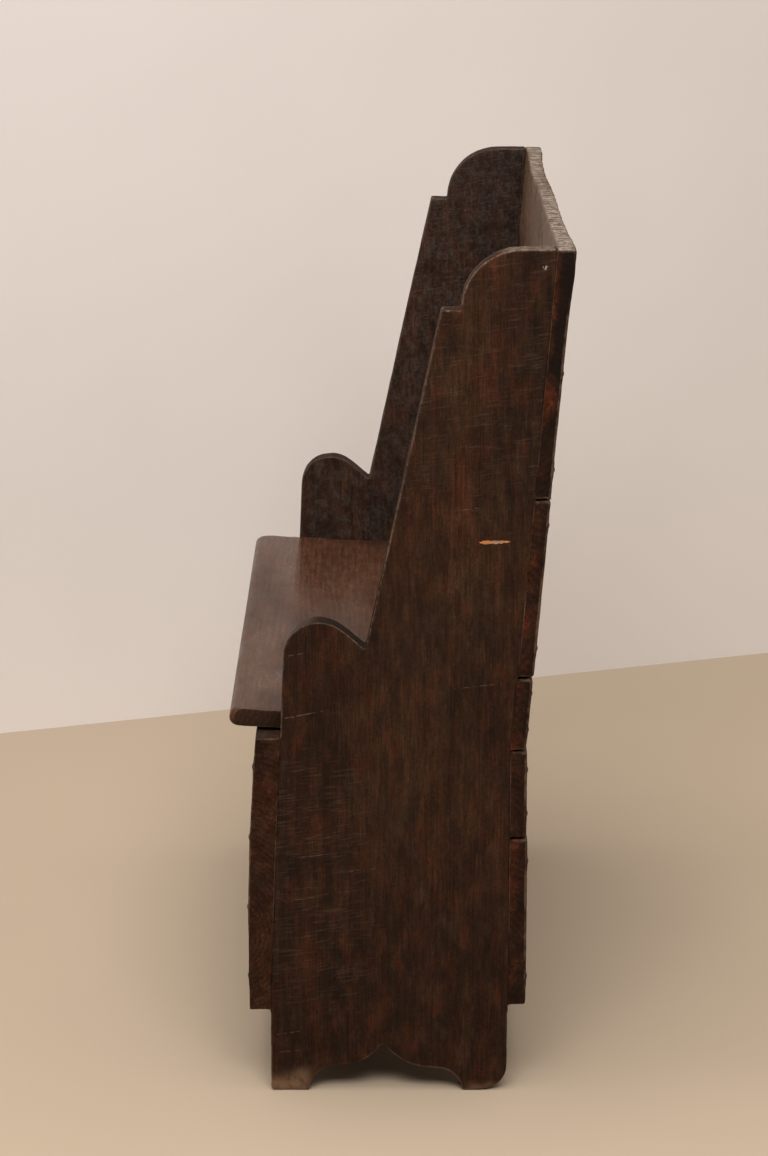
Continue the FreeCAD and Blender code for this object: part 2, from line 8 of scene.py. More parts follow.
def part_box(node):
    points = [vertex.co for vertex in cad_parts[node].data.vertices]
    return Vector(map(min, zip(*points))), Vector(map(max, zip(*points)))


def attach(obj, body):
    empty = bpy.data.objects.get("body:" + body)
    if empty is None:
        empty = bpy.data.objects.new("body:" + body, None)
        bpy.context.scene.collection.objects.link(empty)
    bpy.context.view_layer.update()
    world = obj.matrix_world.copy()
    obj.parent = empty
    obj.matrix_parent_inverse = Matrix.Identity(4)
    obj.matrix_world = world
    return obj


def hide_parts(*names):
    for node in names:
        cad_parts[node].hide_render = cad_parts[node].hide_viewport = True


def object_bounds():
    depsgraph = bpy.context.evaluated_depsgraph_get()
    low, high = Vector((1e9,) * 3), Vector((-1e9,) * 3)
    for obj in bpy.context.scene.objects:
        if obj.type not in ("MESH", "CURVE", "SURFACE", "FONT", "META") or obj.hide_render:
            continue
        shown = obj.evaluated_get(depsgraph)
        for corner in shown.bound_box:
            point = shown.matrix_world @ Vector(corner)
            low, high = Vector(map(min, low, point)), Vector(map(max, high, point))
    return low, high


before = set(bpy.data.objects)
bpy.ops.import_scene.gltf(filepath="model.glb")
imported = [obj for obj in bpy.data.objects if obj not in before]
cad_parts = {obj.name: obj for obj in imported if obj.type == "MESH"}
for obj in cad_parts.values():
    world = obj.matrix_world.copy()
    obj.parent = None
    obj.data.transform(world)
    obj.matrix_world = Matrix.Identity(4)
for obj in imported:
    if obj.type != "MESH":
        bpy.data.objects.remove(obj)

bl_info = {
    "name": "Hall bench with a lift-up seat",
    "version": (1, 0, 0),
    "blender": (4, 5, 0),
    "location": "3D View > Sidebar > Hall bench",
    "description": "Dresses a plank-built hall bench in worn, waxed boards and browned iron",
    "category": "Object",
}

# X runs along the bench, the front faces -Y and Z is up, all in metres. The near end is the +X end.
CAD_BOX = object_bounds()
NEAR_X = CAD_BOX[1].x


def length_property(name, description, default, low=0.0, high=0.05):
    return bpy.props.FloatProperty(
        name=name, description=description, default=default, min=low, max=high,
        subtype="DISTANCE", unit="LENGTH", precision=4,
    )


def colour_property(name, description, default):
    return bpy.props.FloatVectorProperty(
        name=name, description=description, default=default, size=3, min=0.0, max=1.0, subtype="COLOR",
    )


def power_property(name, description, default):
    return bpy.props.FloatProperty(name=name, description=description, default=default, min=0.0, unit="POWER")


class HallBenchShape(bpy.types.PropertyGroup):
    """Sizes of the wear on the boards."""

    arris: length_property("Arris round", "Radius that use has given the open edges", 0.0015)
    joint_arris: length_property("Joint arris", "Radius of the edges that lie in a joint", 0.0004)
    rear_arris: length_property("Rear arris", "Radius of the back boards' outer ends", 0.0030)
    corner: length_property("Corner round", "Radius of the rubbed corners of an outline", 0.0034)
    foot_round: length_property("Foot round", "Radius of the worn sole of a rear foot", 0.0042)
    nibble: length_property("Arris nibble", "Depth of the unevenness along a rubbed edge", 0.0007)
    stroke: length_property("Plane strokes", "Depth of the hollows that a hand plane left", 0.0003)
    wave: length_property("Board wave", "Depth of the slow waves in a board's faces", 0.0006)
    spacing: length_property("Mesh spacing", "Distance between the points on a board", 0.0048, 0.002)
    top_bow: length_property("Top board bow", "How far the top board's upper edge bows", 0.0036)
    end_spread: length_property("Top board ends", "How far the top board's corners stand out behind", 0.0025)
    seat_dish: length_property("Seat dish", "Depth of the hollows worn by sitting", 0.0009)
    seat_corner: length_property("Seat corner", "Radius of the lid's front corners, seen from above", 0.0090)
    saw_depth: length_property("Saw marks", "Depth of the rough marks on the top edge", 0.0007)


class HallBenchColours(bpy.types.PropertyGroup):
    """Colours of the wood and the iron."""

    dark: colour_property("Dark wood", "The deepest tone of the waxed wood", (0.0150, 0.0072, 0.0045))
    brown: colour_property("Brown wood", "The usual tone of the waxed wood", (0.036, 0.0155, 0.0085))
    tan: colour_property("Tan wood", "The lighter, olive clouds of the wood", (0.062, 0.030, 0.0150))
    ruddy: colour_property("Ruddy wood", "The red patches where the stain is thin", (0.072, 0.0195, 0.0085))
    rubbed: colour_property("Rubbed edge", "Edges where the finish is worn off", (0.130, 0.078, 0.052))
    # Painted highlight: the pale glint that light makes along the handled arrises.
    painted_highlight_tone: colour_property("Polished arris", "The thin pale line of a handled edge", (0.38, 0.23, 0.15))
    bare: colour_property("Bare foot", "The scuffed bare wood of the feet", (0.185, 0.107, 0.062))
    raw: colour_property("Raw wood", "Unfinished wood inside the box", (0.115, 0.068, 0.040))
    back: colour_property("Back wood", "Dry, darkened wood at the back", (0.067, 0.043, 0.030))
    grey: colour_property("Sawn edge", "The dry, rough-sawn top edge", (0.31, 0.252, 0.204))
    splinter: colour_property("Fresh splinter", "Wood where a chip has gone", (0.56, 0.215, 0.075))
    # Grime also colours the stain mask, part of which is painted shade.
    grime: colour_property("Grime", "Old dirt in the hollows", (0.0095, 0.0075, 0.0065))
    # Partly painted sheen: the pale grey of these specks of crusted polish stands for the sheen on the crust.
    dust_and_sheen: colour_property("Dust", "Pale dull specks of crusted polish", (0.120, 0.100, 0.092))
    iron: colour_property("Browned iron", "Nails, hinges and screws", (0.035, 0.027, 0.022))
    rust: colour_property("Rust", "Rusty patches of the iron", (0.12, 0.045, 0.02))


class HallBenchStage(bpy.types.PropertyGroup):
    """Floor, backdrop and light."""

    floor: colour_property("Floor", "The plain pale floor", (0.53, 0.41, 0.295))
    wall: colour_property("Backdrop", "The plain pale backdrop", (0.90, 0.83, 0.785))
    key_power: power_property("Key light", "Power of the large soft lamp at the front", 55.0)
    fill_power: power_property("Fill light", "Power of the soft lamp on the near side", 134.0)
    sky: bpy.props.FloatProperty(
        name="Sky", description="Strength of the even light from above", default=1.0, min=0.0,
    )
    wall_distance: length_property("Backdrop distance", "From the bench to the far wall", 1.126, 0.5, 5.0)
    wall_turn: bpy.props.FloatProperty(
        name="Backdrop turn", description="Heading of the far wall against the bench's end",
        default=math.radians(20.4), subtype="ANGLE",
    )


# Outlines, taken from the frame

def read_vectors(items, key):
    """The vectors that mesh data holds under a key, one to a row."""
    flat = np.empty(len(items) * 3, np.float32)
    items.foreach_get(key, flat)
    return flat.reshape(-1, 3).astype(float)


def node_points(node):
    return read_vectors(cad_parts[node].data.vertices, "co")


def yz_keys(points):
    """Each point's y and z to a hundredth of a millimetre, so that copies of a point compare as equal."""
    return [(round(float(point[1]), 5), round(float(point[2]), 5)) for point in points]


def hull_outline(node):
    """The (y, z) outline of a convex piece that runs along X, anticlockwise seen from +X."""
    flat = sorted(set(yz_keys(node_points(node))))
    hull = []
    for run in (flat, flat[::-1]):
        chain = []
        for point in run:
            while len(chain) > 1 and turn_at(chain[-2], chain[-1], point) <= 0:
                chain.pop()
            chain.append(point)
        hull.extend(chain[:-1])
    return hull


RIM_TOLERANCE = 2e-5


def rim_outline(node):
    """The (y, z) outline of an end board, along the edge of its rim, anticlockwise seen from +X."""
    points = node_points(node)
    level = points[points[:, 2] > points[:, 2].max() - RIM_TOLERANCE, 0].max()
    at_rim = np.abs(points[:, 0] - level) < RIM_TOLERANCE
    keys = yz_keys(points)
    links = {}
    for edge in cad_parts[node].data.edges:
        a, b = edge.vertices
        if at_rim[a] and at_rim[b] and keys[a] != keys[b]:
            links.setdefault(keys[a], []).append(keys[b])
            links.setdefault(keys[b], []).append(keys[a])
    loop = [min(links)]
    before = None
    while True:
        ahead = [key for key in links[loop[-1]] if key != before]
        before = loop[-1]
        if ahead[0] == loop[0]:
            break
        loop.append(ahead[0])
    area = sum(a[0] * b[1] - b[0] * a[1] for a, b in zip(loop, loop[1:] + loop[:1]))
    return loop if area > 0 else loop[::-1]


def turn_at(before, here, after):
    """The turn of an anticlockwise outline at a point, above 0 where it bulges outward."""
    a = Vector(here) - Vector(before)
    b = Vector(after) - Vector(here)
    return math.atan2(a.x * b.y - a.y * b.x, a.dot(b))


CORNER_TURN = math.radians(18)
ALMOST_STRAIGHT = math.radians(0.2)
CORNER_STEPS = 5
HOLLOW_RADIUS = 0.0012
SMOOTHING_PASSES = 4
LEAST_TURN = 1e-4


def arc_between(start, corner, end):
    """Points of the round that touches both legs of a corner, from its start to its end."""
    corner = Vector(corner)
    back = start - corner
    ahead = end - corner
    half = back.angle(ahead) / 2
    middle = (back.normalized() + ahead.normalized()).normalized()
    reach = (back.length + ahead.length) / 2
    centre = corner + middle * (reach / math.cos(half))
    radius = reach * math.tan(half)
    first = (start - centre).normalized()
    last = (end - centre).normalized()
    sweep = first.angle(last)
    spots = []
    for step in range(CORNER_STEPS + 1):
        t = step / CORNER_STEPS
        way = (first * math.sin((1 - t) * sweep) + last * math.sin(t * sweep)) / math.sin(sweep)
        spots.append(centre + way * radius)
    return spots


class Outline:
    """An outline with rubbed corners and evenly divided sides."""

    def __init__(self, points, corner, spacing):
        """The corner is a radius, or a function that gives it for a (y, z) corner."""
        points = self.without_straight(points)
        count = len(points)
        rounds = {}
        passed = set()
        for i, here in enumerate(points):
            turn = turn_at(points[i - 1], here, points[(i + 1) % count])
            if abs(turn) >= CORNER_TURN:
                radius = HOLLOW_RADIUS if turn < 0 else corner(here) if callable(corner) else corner
                reach = radius * math.tan(abs(turn) / 2)
                start = self.walk(points, i, reach, -1, passed)
                end = self.walk(points, i, reach, 1, passed)
                own = i + 1 if turn > 0 else -i - 1
                rounds[i] = [(spot, own) for spot in arc_between(start, here, end)]
        placed = []
        for i, here in enumerate(points):
            if i in rounds:
                placed.extend(rounds[i])
            elif i not in passed:
                placed.append((Vector(here), 0))
        self.divide(placed, spacing)

    @staticmethod
    def without_straight(points):
        turns = [turn_at(points[i - 1], here, points[(i + 1) % len(points)]) for i, here in enumerate(points)]
        return [here for here, turn in zip(points, turns) if abs(turn) > ALMOST_STRAIGHT]

    @staticmethod
    def walk(points, i, reach, way, passed):
        """The spot at a distance from a point along the outline. Points on the way are noted."""
        here = Vector(points[i])
        while True:
            i = (i + way) % len(points)
            ahead = Vector(points[i])
            if (ahead - here).length >= reach:
                return here + (ahead - here).normalized() * reach
            reach -= (ahead - here).length
            here = ahead
            passed.add(i)

    def divide(self, placed, spacing):
        """Divides the sides. Each corner has a number of its own, below 0 where it is hollow."""
        spots = []
        signs = []
        for i, (here, sign) in enumerate(placed):
            after, next_sign = placed[(i + 1) % len(placed)]
            pieces = max(1, math.ceil((after - here).length / spacing))
            for step in range(pieces):
                spots.append(here.lerp(after, step / pieces)[:])
                signs.append(sign if step == 0 or sign == next_sign else 0)
        self.spots = np.array(spots)
        self.bulge = np.array(signs) > 0
        hollow = np.array(signs) < 0
        for _ in range(SMOOTHING_PASSES):
            mean = (np.roll(self.spots, 1, 0) + np.roll(self.spots, -1, 0)) / 2
            free = ~(self.bulge | hollow)
            self.spots[free] += 0.5 * (mean - self.spots)[free]
        along = np.roll(self.spots, -1, 0) - np.roll(self.spots, 1, 0)
        along /= np.linalg.norm(along, axis=1)[:, None]
        self.normals = np.stack([along[:, 1], -along[:, 0]], 1)
        steps = np.linalg.norm(np.roll(self.spots, -1, 0) - self.spots, axis=1)
        run = np.concatenate([[0], np.cumsum(steps)])
        self.length = run[-1]
        self.run = run[:-1]
        self.tightest = self.tightest_round(steps)
        self.to_corner = np.full(len(self.spots), self.length)
        for corner_run in self.run[self.bulge]:
            apart = np.abs(self.run - corner_run)
            self.to_corner = np.minimum(self.to_corner, np.minimum(apart, self.length - apart))

    def tightest_round(self, steps):
        """At each point, the least radius of the outline's bulges within a few millimetres."""
        ahead = np.roll(self.spots, -1, 0) - self.spots
        before = np.roll(ahead, 1, 0)
        cross = before[:, 0] * ahead[:, 1] - before[:, 1] * ahead[:, 0]
        turn = np.arctan2(cross, (before * ahead).sum(1))
        radius = (steps + np.roll(steps, 1)) / 2 / np.maximum(turn, LEAST_TURN)
        least = radius.copy()
        for i, run in enumerate(self.run):
            apart = np.abs(self.run - run)
            apart = np.minimum(apart, self.length - apart)
            least[i] = (radius + apart).min()
        return least


def inside(loop, spots):
    """Which spots lie inside a closed loop."""
    within = np.zeros(len(spots), bool)
    for (ay, az), (by, bz) in zip(loop, np.roll(loop, -1, 0)):
        if az != bz:
            crosses = (az > spots[:, 1]) != (bz > spots[:, 1])
            at = ay + (spots[:, 1] - az) * (by - ay) / (bz - az)
            within ^= crosses & (spots[:, 0] < at)
    return within


def distance_to(points, spots):
    """How far each spot lies from the nearest of the points."""
    nearest = np.full(len(spots), np.inf)
    for point in points:
        nearest = np.minimum(nearest, np.linalg.norm(spots - point, axis=1))
    return nearest


# Width of the narrow band of points along the edge of a board's end.
EDGE_BAND = 0.0022


def thinned(spots, apart):
    """The spots that keep their distance from the ones before them."""
    kept = np.empty((0, 2))
    for spot in spots:
        if not len(kept) or np.linalg.norm(kept - spot, axis=1).min() > apart:
            kept = np.vstack([kept, spot])
    return kept


def fill_points(loop, normals, spacing):
    """Points inside a closed loop: a narrow band along it, then a triangular grid."""
    band = loop - normals * EDGE_BAND
    band = band[inside(loop, band)]
    band = thinned(band[distance_to(loop, band) > 0.8 * EDGE_BAND], 0.5 * EDGE_BAND)
    low = loop.min(0)
    high = loop.max(0)
    spots = []
    row_height = spacing * math.sqrt(3) / 2
    for row in range(1, int((high[1] - low[1]) / row_height) + 1):
        shift = spacing / 2 if row % 2 else 0.0
        for column in range(int((high[0] - low[0]) / spacing) + 1):
            spots.append((low[0] + shift + column * spacing, low[1] + row * row_height))
    spots = np.array(spots).reshape(-1, 2)
    spots = spots[inside(loop, spots)]
    spots = spots[distance_to(loop, spots) > EDGE_BAND + 0.4 * spacing]
    return np.concatenate([band, spots])


def cap_faces(loop, inner):
    """Triangles that fill a closed loop of points, with the inner points between them."""
    spots = np.concatenate([loop, inner])
    edges = [(i, (i + 1) % len(loop)) for i in range(len(loop))]
    made = geometry.delaunay_2d_cdt([Vector(p) for p in spots], edges, [], 0, 1e-7, True)
    if len(made[0]) != len(spots):
        raise ValueError("an end of a board crosses itself")
    faces = np.array([group[0] for group in made[3]])[np.array(made[2])]
    return faces[inside(loop, spots[faces].mean(1))].tolist()


ROUND_STEPS = 4
# An arris stays below this share of the outline's tightest bulge, so that the mesh never folds.
TIGHT_SHARE = 0.7


class Board:
    """A closed mesh between two ends, from an outline that runs along X."""

    def __init__(self, name, outline, low_x, high_x, spacing, rounds):
        """The rounds are the radii of both ends' arrises, one for each point of the outline."""
        self.name = name
        self.outline = outline
        rounds = np.minimum(rounds, TIGHT_SHARE * outline.tightest)
        angles = [math.pi / 2 * step / ROUND_STEPS for step in range(ROUND_STEPS + 1)]
        arcs = [(rounds * (1 - math.cos(angle)), rounds * (1 - math.sin(angle))) for angle in angles]
        levels = [(low_x + along, inset) for along, inset in arcs]
        first = low_x + rounds.max() + EDGE_BAND
        last = high_x - rounds.max() - EDGE_BAND
        stations = max(1, math.ceil((last - first) / spacing))
        levels += [(first + (last - first) * step / stations, 0.0) for step in range(stations + 1)]
        levels += [(high_x - along, inset) for along, inset in reversed(arcs)]
        self.build(levels)
        end_run = np.minimum(self.spots[:, 0] - np.tile(low_x + rounds, len(levels)),
                             np.tile(high_x - rounds, len(levels)) - self.spots[:, 0])
        edge_run = np.tile(outline.to_corner, len(levels))
        self.edge = np.clip(np.minimum(edge_run, end_run), 0, None)
        self.cap(0, low_x, spacing, True)
        self.cap((len(levels) - 1) * len(outline.spots), high_x, spacing, False)

    def build(self, levels):
        """Joins the outline's copies, each at an x and inset by a depth."""
        count = len(self.outline.spots)
        rings = []
        for x, inset in levels:
            flat = self.outline.spots - self.outline.normals * np.broadcast_to(inset, count)[:, None]
            rings.append(np.column_stack([np.broadcast_to(x, count), flat]))
        self.spots = np.concatenate(rings)
        self.faces = []
        for base in range(0, (len(levels) - 1) * count, count):
            for i in range(count):
                j = (i + 1) % count
                self.faces.append([base + i, base + j, base + count + j, base + count + i])

    def cap(self, base, x, spacing, flip):
        """Closes an end whose ring of points starts at the base."""
        count = len(self.outline.spots)
        loop = self.spots[base:base + count, 1:]
        inner = fill_points(loop, self.outline.normals, spacing)
        start = len(self.spots)
        self.spots = np.concatenate([self.spots, np.column_stack([np.full(len(inner), x), inner])])
        self.edge = np.concatenate([self.edge, distance_to(loop, inner)])
        for face in cap_faces(loop, inner):
            face = [base + i if i < count else start + i - count for i in face]
            self.faces.append(face[::-1] if flip else face)

    def mesh(self):
        made = bpy.data.meshes.new(self.name)
        made.from_pydata(self.spots.tolist(), [], self.faces)
        made.polygons.foreach_set("use_smooth", [True] * len(made.polygons))
        made.update()
        return made


# Wear

def set_spots(mesh, spots):
    mesh.vertices.foreach_set("co", spots.astype(np.float32).ravel())
    mesh.update()


def give(mesh, name, values):
    """Stores a value for each point of a mesh, for its material."""
    made = mesh.attributes.get(name) or mesh.attributes.new(name, "FLOAT", "POINT")
    made.data.foreach_set("value", np.broadcast_to(values, len(mesh.vertices)).astype(np.float32))


def noise_at(spots, scale, seed):
    """Smooth noise from -1 to 1 at each spot, with a scale per metre for each axis."""
    shift = Vector((seed * 7.31, seed * 3.77, seed * 5.13))
    return np.array([noise.noise(Vector(p) + shift) for p in spots * np.array(scale)])


def smooth_step(low, high, values):
    t = np.clip((values - low) / (high - low), 0, 1)
    return t * t * (3 - 2 * t)


def hump(values, middle, width):
    """A bell from 0 to 1 that peaks at the middle."""
    return np.exp(-((values - middle) / width) ** 2)


# What the pieces' points hold for their materials.
MASKS = ("rubbed", "end_grain", "raw", "sawn", "stain", "scratched", "tan", "ruddy", "scuffed", "gleam")


# How far from an edge the bites and the rubbing fade, and how far a nail stains the wood round it.
BITE_FADE = 0.004
RUB_FADE = 0.0012
NAIL_STAIN = 0.006


def wear_down(mesh, board, grain, seed, tight, exposure=1.0, strokes=1.0, nails=None):
    """Sinks the faces by plane strokes, slow waves and rubbed edges, never outward.

    The face stays where a joint is tight, which a function of the spots and normals tells. Round
    the heads of the nails, where a node of them is named, it stays too and is stained.
    """
    shape = bpy.context.scene.hallbench_shape
    spots = board.spots
    normals = read_vectors(mesh.vertex_normals, "vector")

    def hollows(along, across, own_seed):
        """Noise from 0 to 1, with a scale along the grain and one across it."""
        scale = [along if axis == grain else across for axis in range(3)]
        return 0.5 + 0.5 * noise_at(spots, scale, own_seed)

    depth = shape.wave * hollows(3.0, 9.0, seed)
    depth += strokes * shape.stroke * hollows(3.5, 42.0, seed + 1)
    depth += strokes * 0.3 * shape.stroke * hollows(26.0, 90.0, seed + 2)
    bites = noise_at(spots, [38.0] * 3, seed + 3) + 0.6 * noise_at(spots, [110.0] * 3, seed + 4)
    depth += shape.nibble * exposure * np.exp(-board.edge / BITE_FADE) * np.clip(0.35 + bites, 0, 1.4)
    for name in MASKS:
        give(mesh, name, 0.0)
    depth *= 1 - 0.9 * tight(spots, normals)
    if nails:
        from_nail = distance_to(node_points(nails)[::2], spots)
        depth *= smooth_step(0.002, 0.012, from_nail)
        give(mesh, "stain", np.exp(-from_nail / NAIL_STAIN))
    set_spots(mesh, spots - normals * depth[:, None])
    give(mesh, "rubbed", exposure * np.exp(-board.edge / RUB_FADE))
    give(mesh, "end_grain", smooth_step(0.7, 0.9, np.abs(normals[:, grain])))
    return normals


def stored(mesh, name):
    """The values that a mask holds."""
    values = np.empty(len(mesh.vertices), np.float32)
    mesh.attributes[name].data.foreach_get("value", values)
    return values


def new_object(name, data):
    made = bpy.data.objects.new(name, data)
    bpy.context.scene.collection.objects.link(made)
    return made


def place(mesh, node, body, slot, material):
    """Makes the piece that stands for a CAD node, on its body and with its finish."""
    piece = new_object(mesh.name, mesh)
    mesh.materials.append(material)
    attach(piece, body)
    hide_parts(node)


# Shader building

def new_material(name):
    """A material with an empty tree of nodes, and that tree."""
    material = bpy.data.materials.new(name)
    material.use_nodes = True
    material.node_tree.nodes.clear()
    return material, material.node_tree


def add(tree, kind, inputs=None, **settings):
    """Adds a shader node. An input is a value, or another node's output to link."""
    made = tree.nodes.new(kind)
    for key, value in settings.items():
        setattr(made, key, value)
    for key, value in (inputs or {}).items():
        if isinstance(value, bpy.types.NodeSocket):
            tree.links.new(value, made.inputs[key])
        else:
            made.inputs[key].default_value = value
    return made


def calc(tree, operation, *values, clamp=False):
    made = add(tree, "ShaderNodeMath", dict(enumerate(values)), operation=operation, use_clamp=clamp)
    return made.outputs[0]


def product(tree, first, *others):
    for other in others:
        first = calc(tree, "MULTIPLY", first, other)
    return first


def total(tree, first, *terms, clamp=False):
    """The first value plus each further one times its factor."""
    for value, factor in terms:
        operation = "ADD" if factor > 0 else "SUBTRACT"
        first = calc(tree, operation, first, product(tree, value, abs(factor)))
    first.node.use_clamp = clamp
    return first


def between(tree, value, low, high, to_low=0.0, to_high=1.0):
    """A smooth step from one range to another."""
    inputs = {"Value": value, "From Min": low, "From Max": high, "To Min": to_low, "To Max": to_high}
    made = add(tree, "ShaderNodeMapRange", inputs, interpolation_type="SMOOTHSTEP")
    return made.outputs["Result"]


def stretched(tree, vector, scale, turn=(0.0, 0.0, 0.0)):
    made = add(tree, "ShaderNodeMapping", {"Vector": vector, "Rotation": turn, "Scale": scale})
    return made.outputs["Vector"]


def cloud(tree, vector, seed, detail=3.0, roughness=0.55, scale=1.0, output="Fac"):
    """Noise about 0.5. The seed sets it apart from the noise of other pieces."""
    inputs = {"Vector": vector, "W": seed, "Scale": scale, "Detail": detail, "Roughness": roughness}
    return add(tree, "ShaderNodeTexNoise", inputs, noise_dimensions="4D").outputs[output]


def streaks(tree, vector, scale, seed, detail=3.0, roughness=0.55, output="Fac"):
    """Noise with a scale of its own along each axis."""
    return cloud(tree, stretched(tree, vector, scale), seed, detail, roughness, output=output)


def as_colour(value):
    return value if isinstance(value, bpy.types.NodeSocket) else tuple(value) + (1.0,)


def mixed(tree, share, a, b):
    inputs = {0: share, 6: as_colour(a), 7: as_colour(b)}
    return add(tree, "ShaderNodeMix", inputs, data_type="RGBA").outputs[2]


def coated(tree, tone, *coats):
    """A tone under coats, each of them a share and a colour."""
    for share, colour in coats:
        tone = mixed(tree, share, tone, colour)
    return tone


def scaled(tree, colour, factor):
    """A colour times a factor."""
    value = colour if isinstance(colour, bpy.types.NodeSocket) else tuple(colour)
    return add(tree, "ShaderNodeVectorMath", {0: value, "Scale": factor}, operation="SCALE").outputs[0]


def vector_step(tree, operation, a, b, output=0):
    return add(tree, "ShaderNodeVectorMath", {0: a, 1: b}, operation=operation).outputs[output]


def mask(tree, name):
    return add(tree, "ShaderNodeAttribute", attribute_name=name).outputs["Fac"]


VECTOR = "NodeSocketVector"
NUMBER = "NodeSocketFloat"


def new_group(name, inputs, outputs):
    """A shader node group of numbers and vectors, as its tree, its inputs and its output node."""
    tree = bpy.data.node_groups.new(name, "ShaderNodeTree")
    tree.interface.new_socket("Vector", in_out="INPUT", socket_type=VECTOR)
    for label, default in inputs.items():
        kind = NUMBER if isinstance(default, float) else VECTOR
        tree.interface.new_socket(label, in_out="INPUT", socket_type=kind).default_value = default
    for label in outputs:
        tree.interface.new_socket(label, in_out="OUTPUT", socket_type=NUMBER)
    start = tree.nodes.new("NodeGroupInput")
    end = tree.nodes.new("NodeGroupOutput")
    return tree, start.outputs, end.inputs


def use_group(tree, name, vector, **inputs):
    inputs = {"Vector": vector, **inputs}
    return add(tree, "ShaderNodeGroup", inputs, node_tree=bpy.data.node_groups[name]).outputs


def build_grain_group():
    """Growth rings round a pith, fibres and pores, with the grain along Z."""
    tree, given, made = new_group(
        "plank grain", {"Seed": 0.0, "Pith": (0.05, 0.12, 0.0), "Ring": 0.006},
        ("Rings", "Late", "Fibre", "Pores", "Specks"),
    )
    vector = given["Vector"]
    seed = given["Seed"]
    drift = streaks(tree, vector, (6.0, 6.0, 2.2), seed, 2.0, 0.45, "Color")
    drift = vector_step(tree, "SUBTRACT", drift, (0.5, 0.5, 0.5))
    drift = vector_step(tree, "MULTIPLY", drift, (0.05, 0.05, 0.0))
    spot = vector_step(tree, "ADD", vector, drift)
    spot = vector_step(tree, "SUBTRACT", spot, given["Pith"])
    flat = vector_step(tree, "MULTIPLY", spot, (1.0, 1.0, 0.0))
    radius = add(tree, "ShaderNodeVectorMath", {0: flat}, operation="LENGTH").outputs["Value"]
    jitter = streaks(tree, vector, (45.0, 45.0, 3.0), seed)
    turns = calc(tree, "ADD", calc(tree, "DIVIDE", radius, given["Ring"]), product(tree, jitter, 1.3))
    part = calc(tree, "FRACT", turns)
    for label, start, full, fade in (("Rings", 0.0, 0.75, 0.86), ("Late", 0.55, 0.82, 0.93)):
        band = product(tree, between(tree, part, start, full), between(tree, part, 1.0, fade))
        tree.links.new(band, made[label])
    coarse = streaks(tree, vector, (330.0, 330.0, 12.0), seed, 2.0)
    fine = streaks(tree, vector, (900.0, 900.0, 42.0), seed, 3.0, 0.7)
    fibre = calc(tree, "ADD", product(tree, coarse, 0.4), product(tree, fine, 0.6))
    tree.links.new(fibre, made["Fibre"])
    tree.links.new(streaks(tree, vector, (420.0, 420.0, 330.0), seed, 4.0, 0.75), made["Specks"])
    pore = between(tree, streaks(tree, vector, (1100.0, 1100.0, 34.0), seed, 1.0), 0.60, 0.68)
    tree.links.new(product(tree, pore, between(tree, part, 0.6, 0.1, 0.4, 1.0)), made["Pores"])


def build_patina_group():
    """Slow clouds, small mottling, red patches, flecks and grime of an old wax finish."""
    tree, given, made = new_group("wax patina", {"Seed": 0.0}, (
        "Cloud", "Mottle", "Crust", "Ruddy", "Flecks", "Grime", "Warm", "Olive", "Cool",
    ))
    vector = given["Vector"]
    seed = given["Seed"]
    for label, scale, detail, roughness, low, high, shift in (
        ("Cloud", (11.0, 11.0, 4.5), 5.0, 0.60, 0.32, 0.68, 0.0),
        ("Mottle", (75.0, 75.0, 30.0), 4.0, 0.65, 0.30, 0.72, 3.0),
        ("Crust", (120.0, 120.0, 95.0), 5.0, 0.75, 0.42, 0.68, 5.0),
        ("Ruddy", (24.0, 24.0, 5.0), 5.0, 0.62, 0.46, 0.70, 7.0),
        ("Grime", (17.0, 17.0, 11.0), 5.0, 0.68, 0.48, 0.74, 11.0),
    ):
        patch = streaks(tree, vector, scale, calc(tree, "ADD", seed, shift), detail, roughness)
        tree.links.new(between(tree, patch, low, high), made[label])
    hues = streaks(tree, vector, (62.0, 62.0, 24.0), seed, 5.0, 0.66, "Color")
    hues = add(tree, "ShaderNodeSeparateColor", {0: hues}).outputs
    for label, hue in zip(("Warm", "Olive", "Cool"), hues):
        tree.links.new(between(tree, hue, 0.47, 0.66), made[label])
    spread = add(tree, "ShaderNodeTexVoronoi", {
        "Vector": stretched(tree, vector, (105.0, 105.0, 60.0)), "W": seed, "Scale": 1.0,
    }, voronoi_dimensions="4D")
    chosen = add(tree, "ShaderNodeSeparateColor", {0: spread.outputs["Color"]}).outputs
    size = between(tree, chosen[1], 0.0, 1.0, 0.05, 0.20)
    fleck = calc(tree, "LESS_THAN", spread.outputs["Distance"], size)
    tree.links.new(product(tree, fleck, between(tree, chosen[0], 0.86, 0.94)), made["Flecks"])


def build_scratch_group():
    """Short pale scratches that run along X of the vector, more where the amount is high."""
    tree, given, made = new_group("fine scratches", {"Seed": 0.0, "Amount": 0.5}, ("Scratches",))
    vector = given["Vector"]
    seed = given["Seed"]
    line = streaks(tree, vector, (48.0, 760.0, 760.0), seed, 1.0)
    gate = streaks(tree, vector, (34.0, 120.0, 120.0), calc(tree, "ADD", seed, 4.0), 2.0)
    over = calc(tree, "SUBTRACT", line, between(tree, given["Amount"], 0.0, 1.0, 0.76, 0.50))
    found = product(tree, between(tree, over, 0.0, 0.12), between(tree, gate, 0.36, 0.60))
    tree.links.new(found, made["Scratches"])


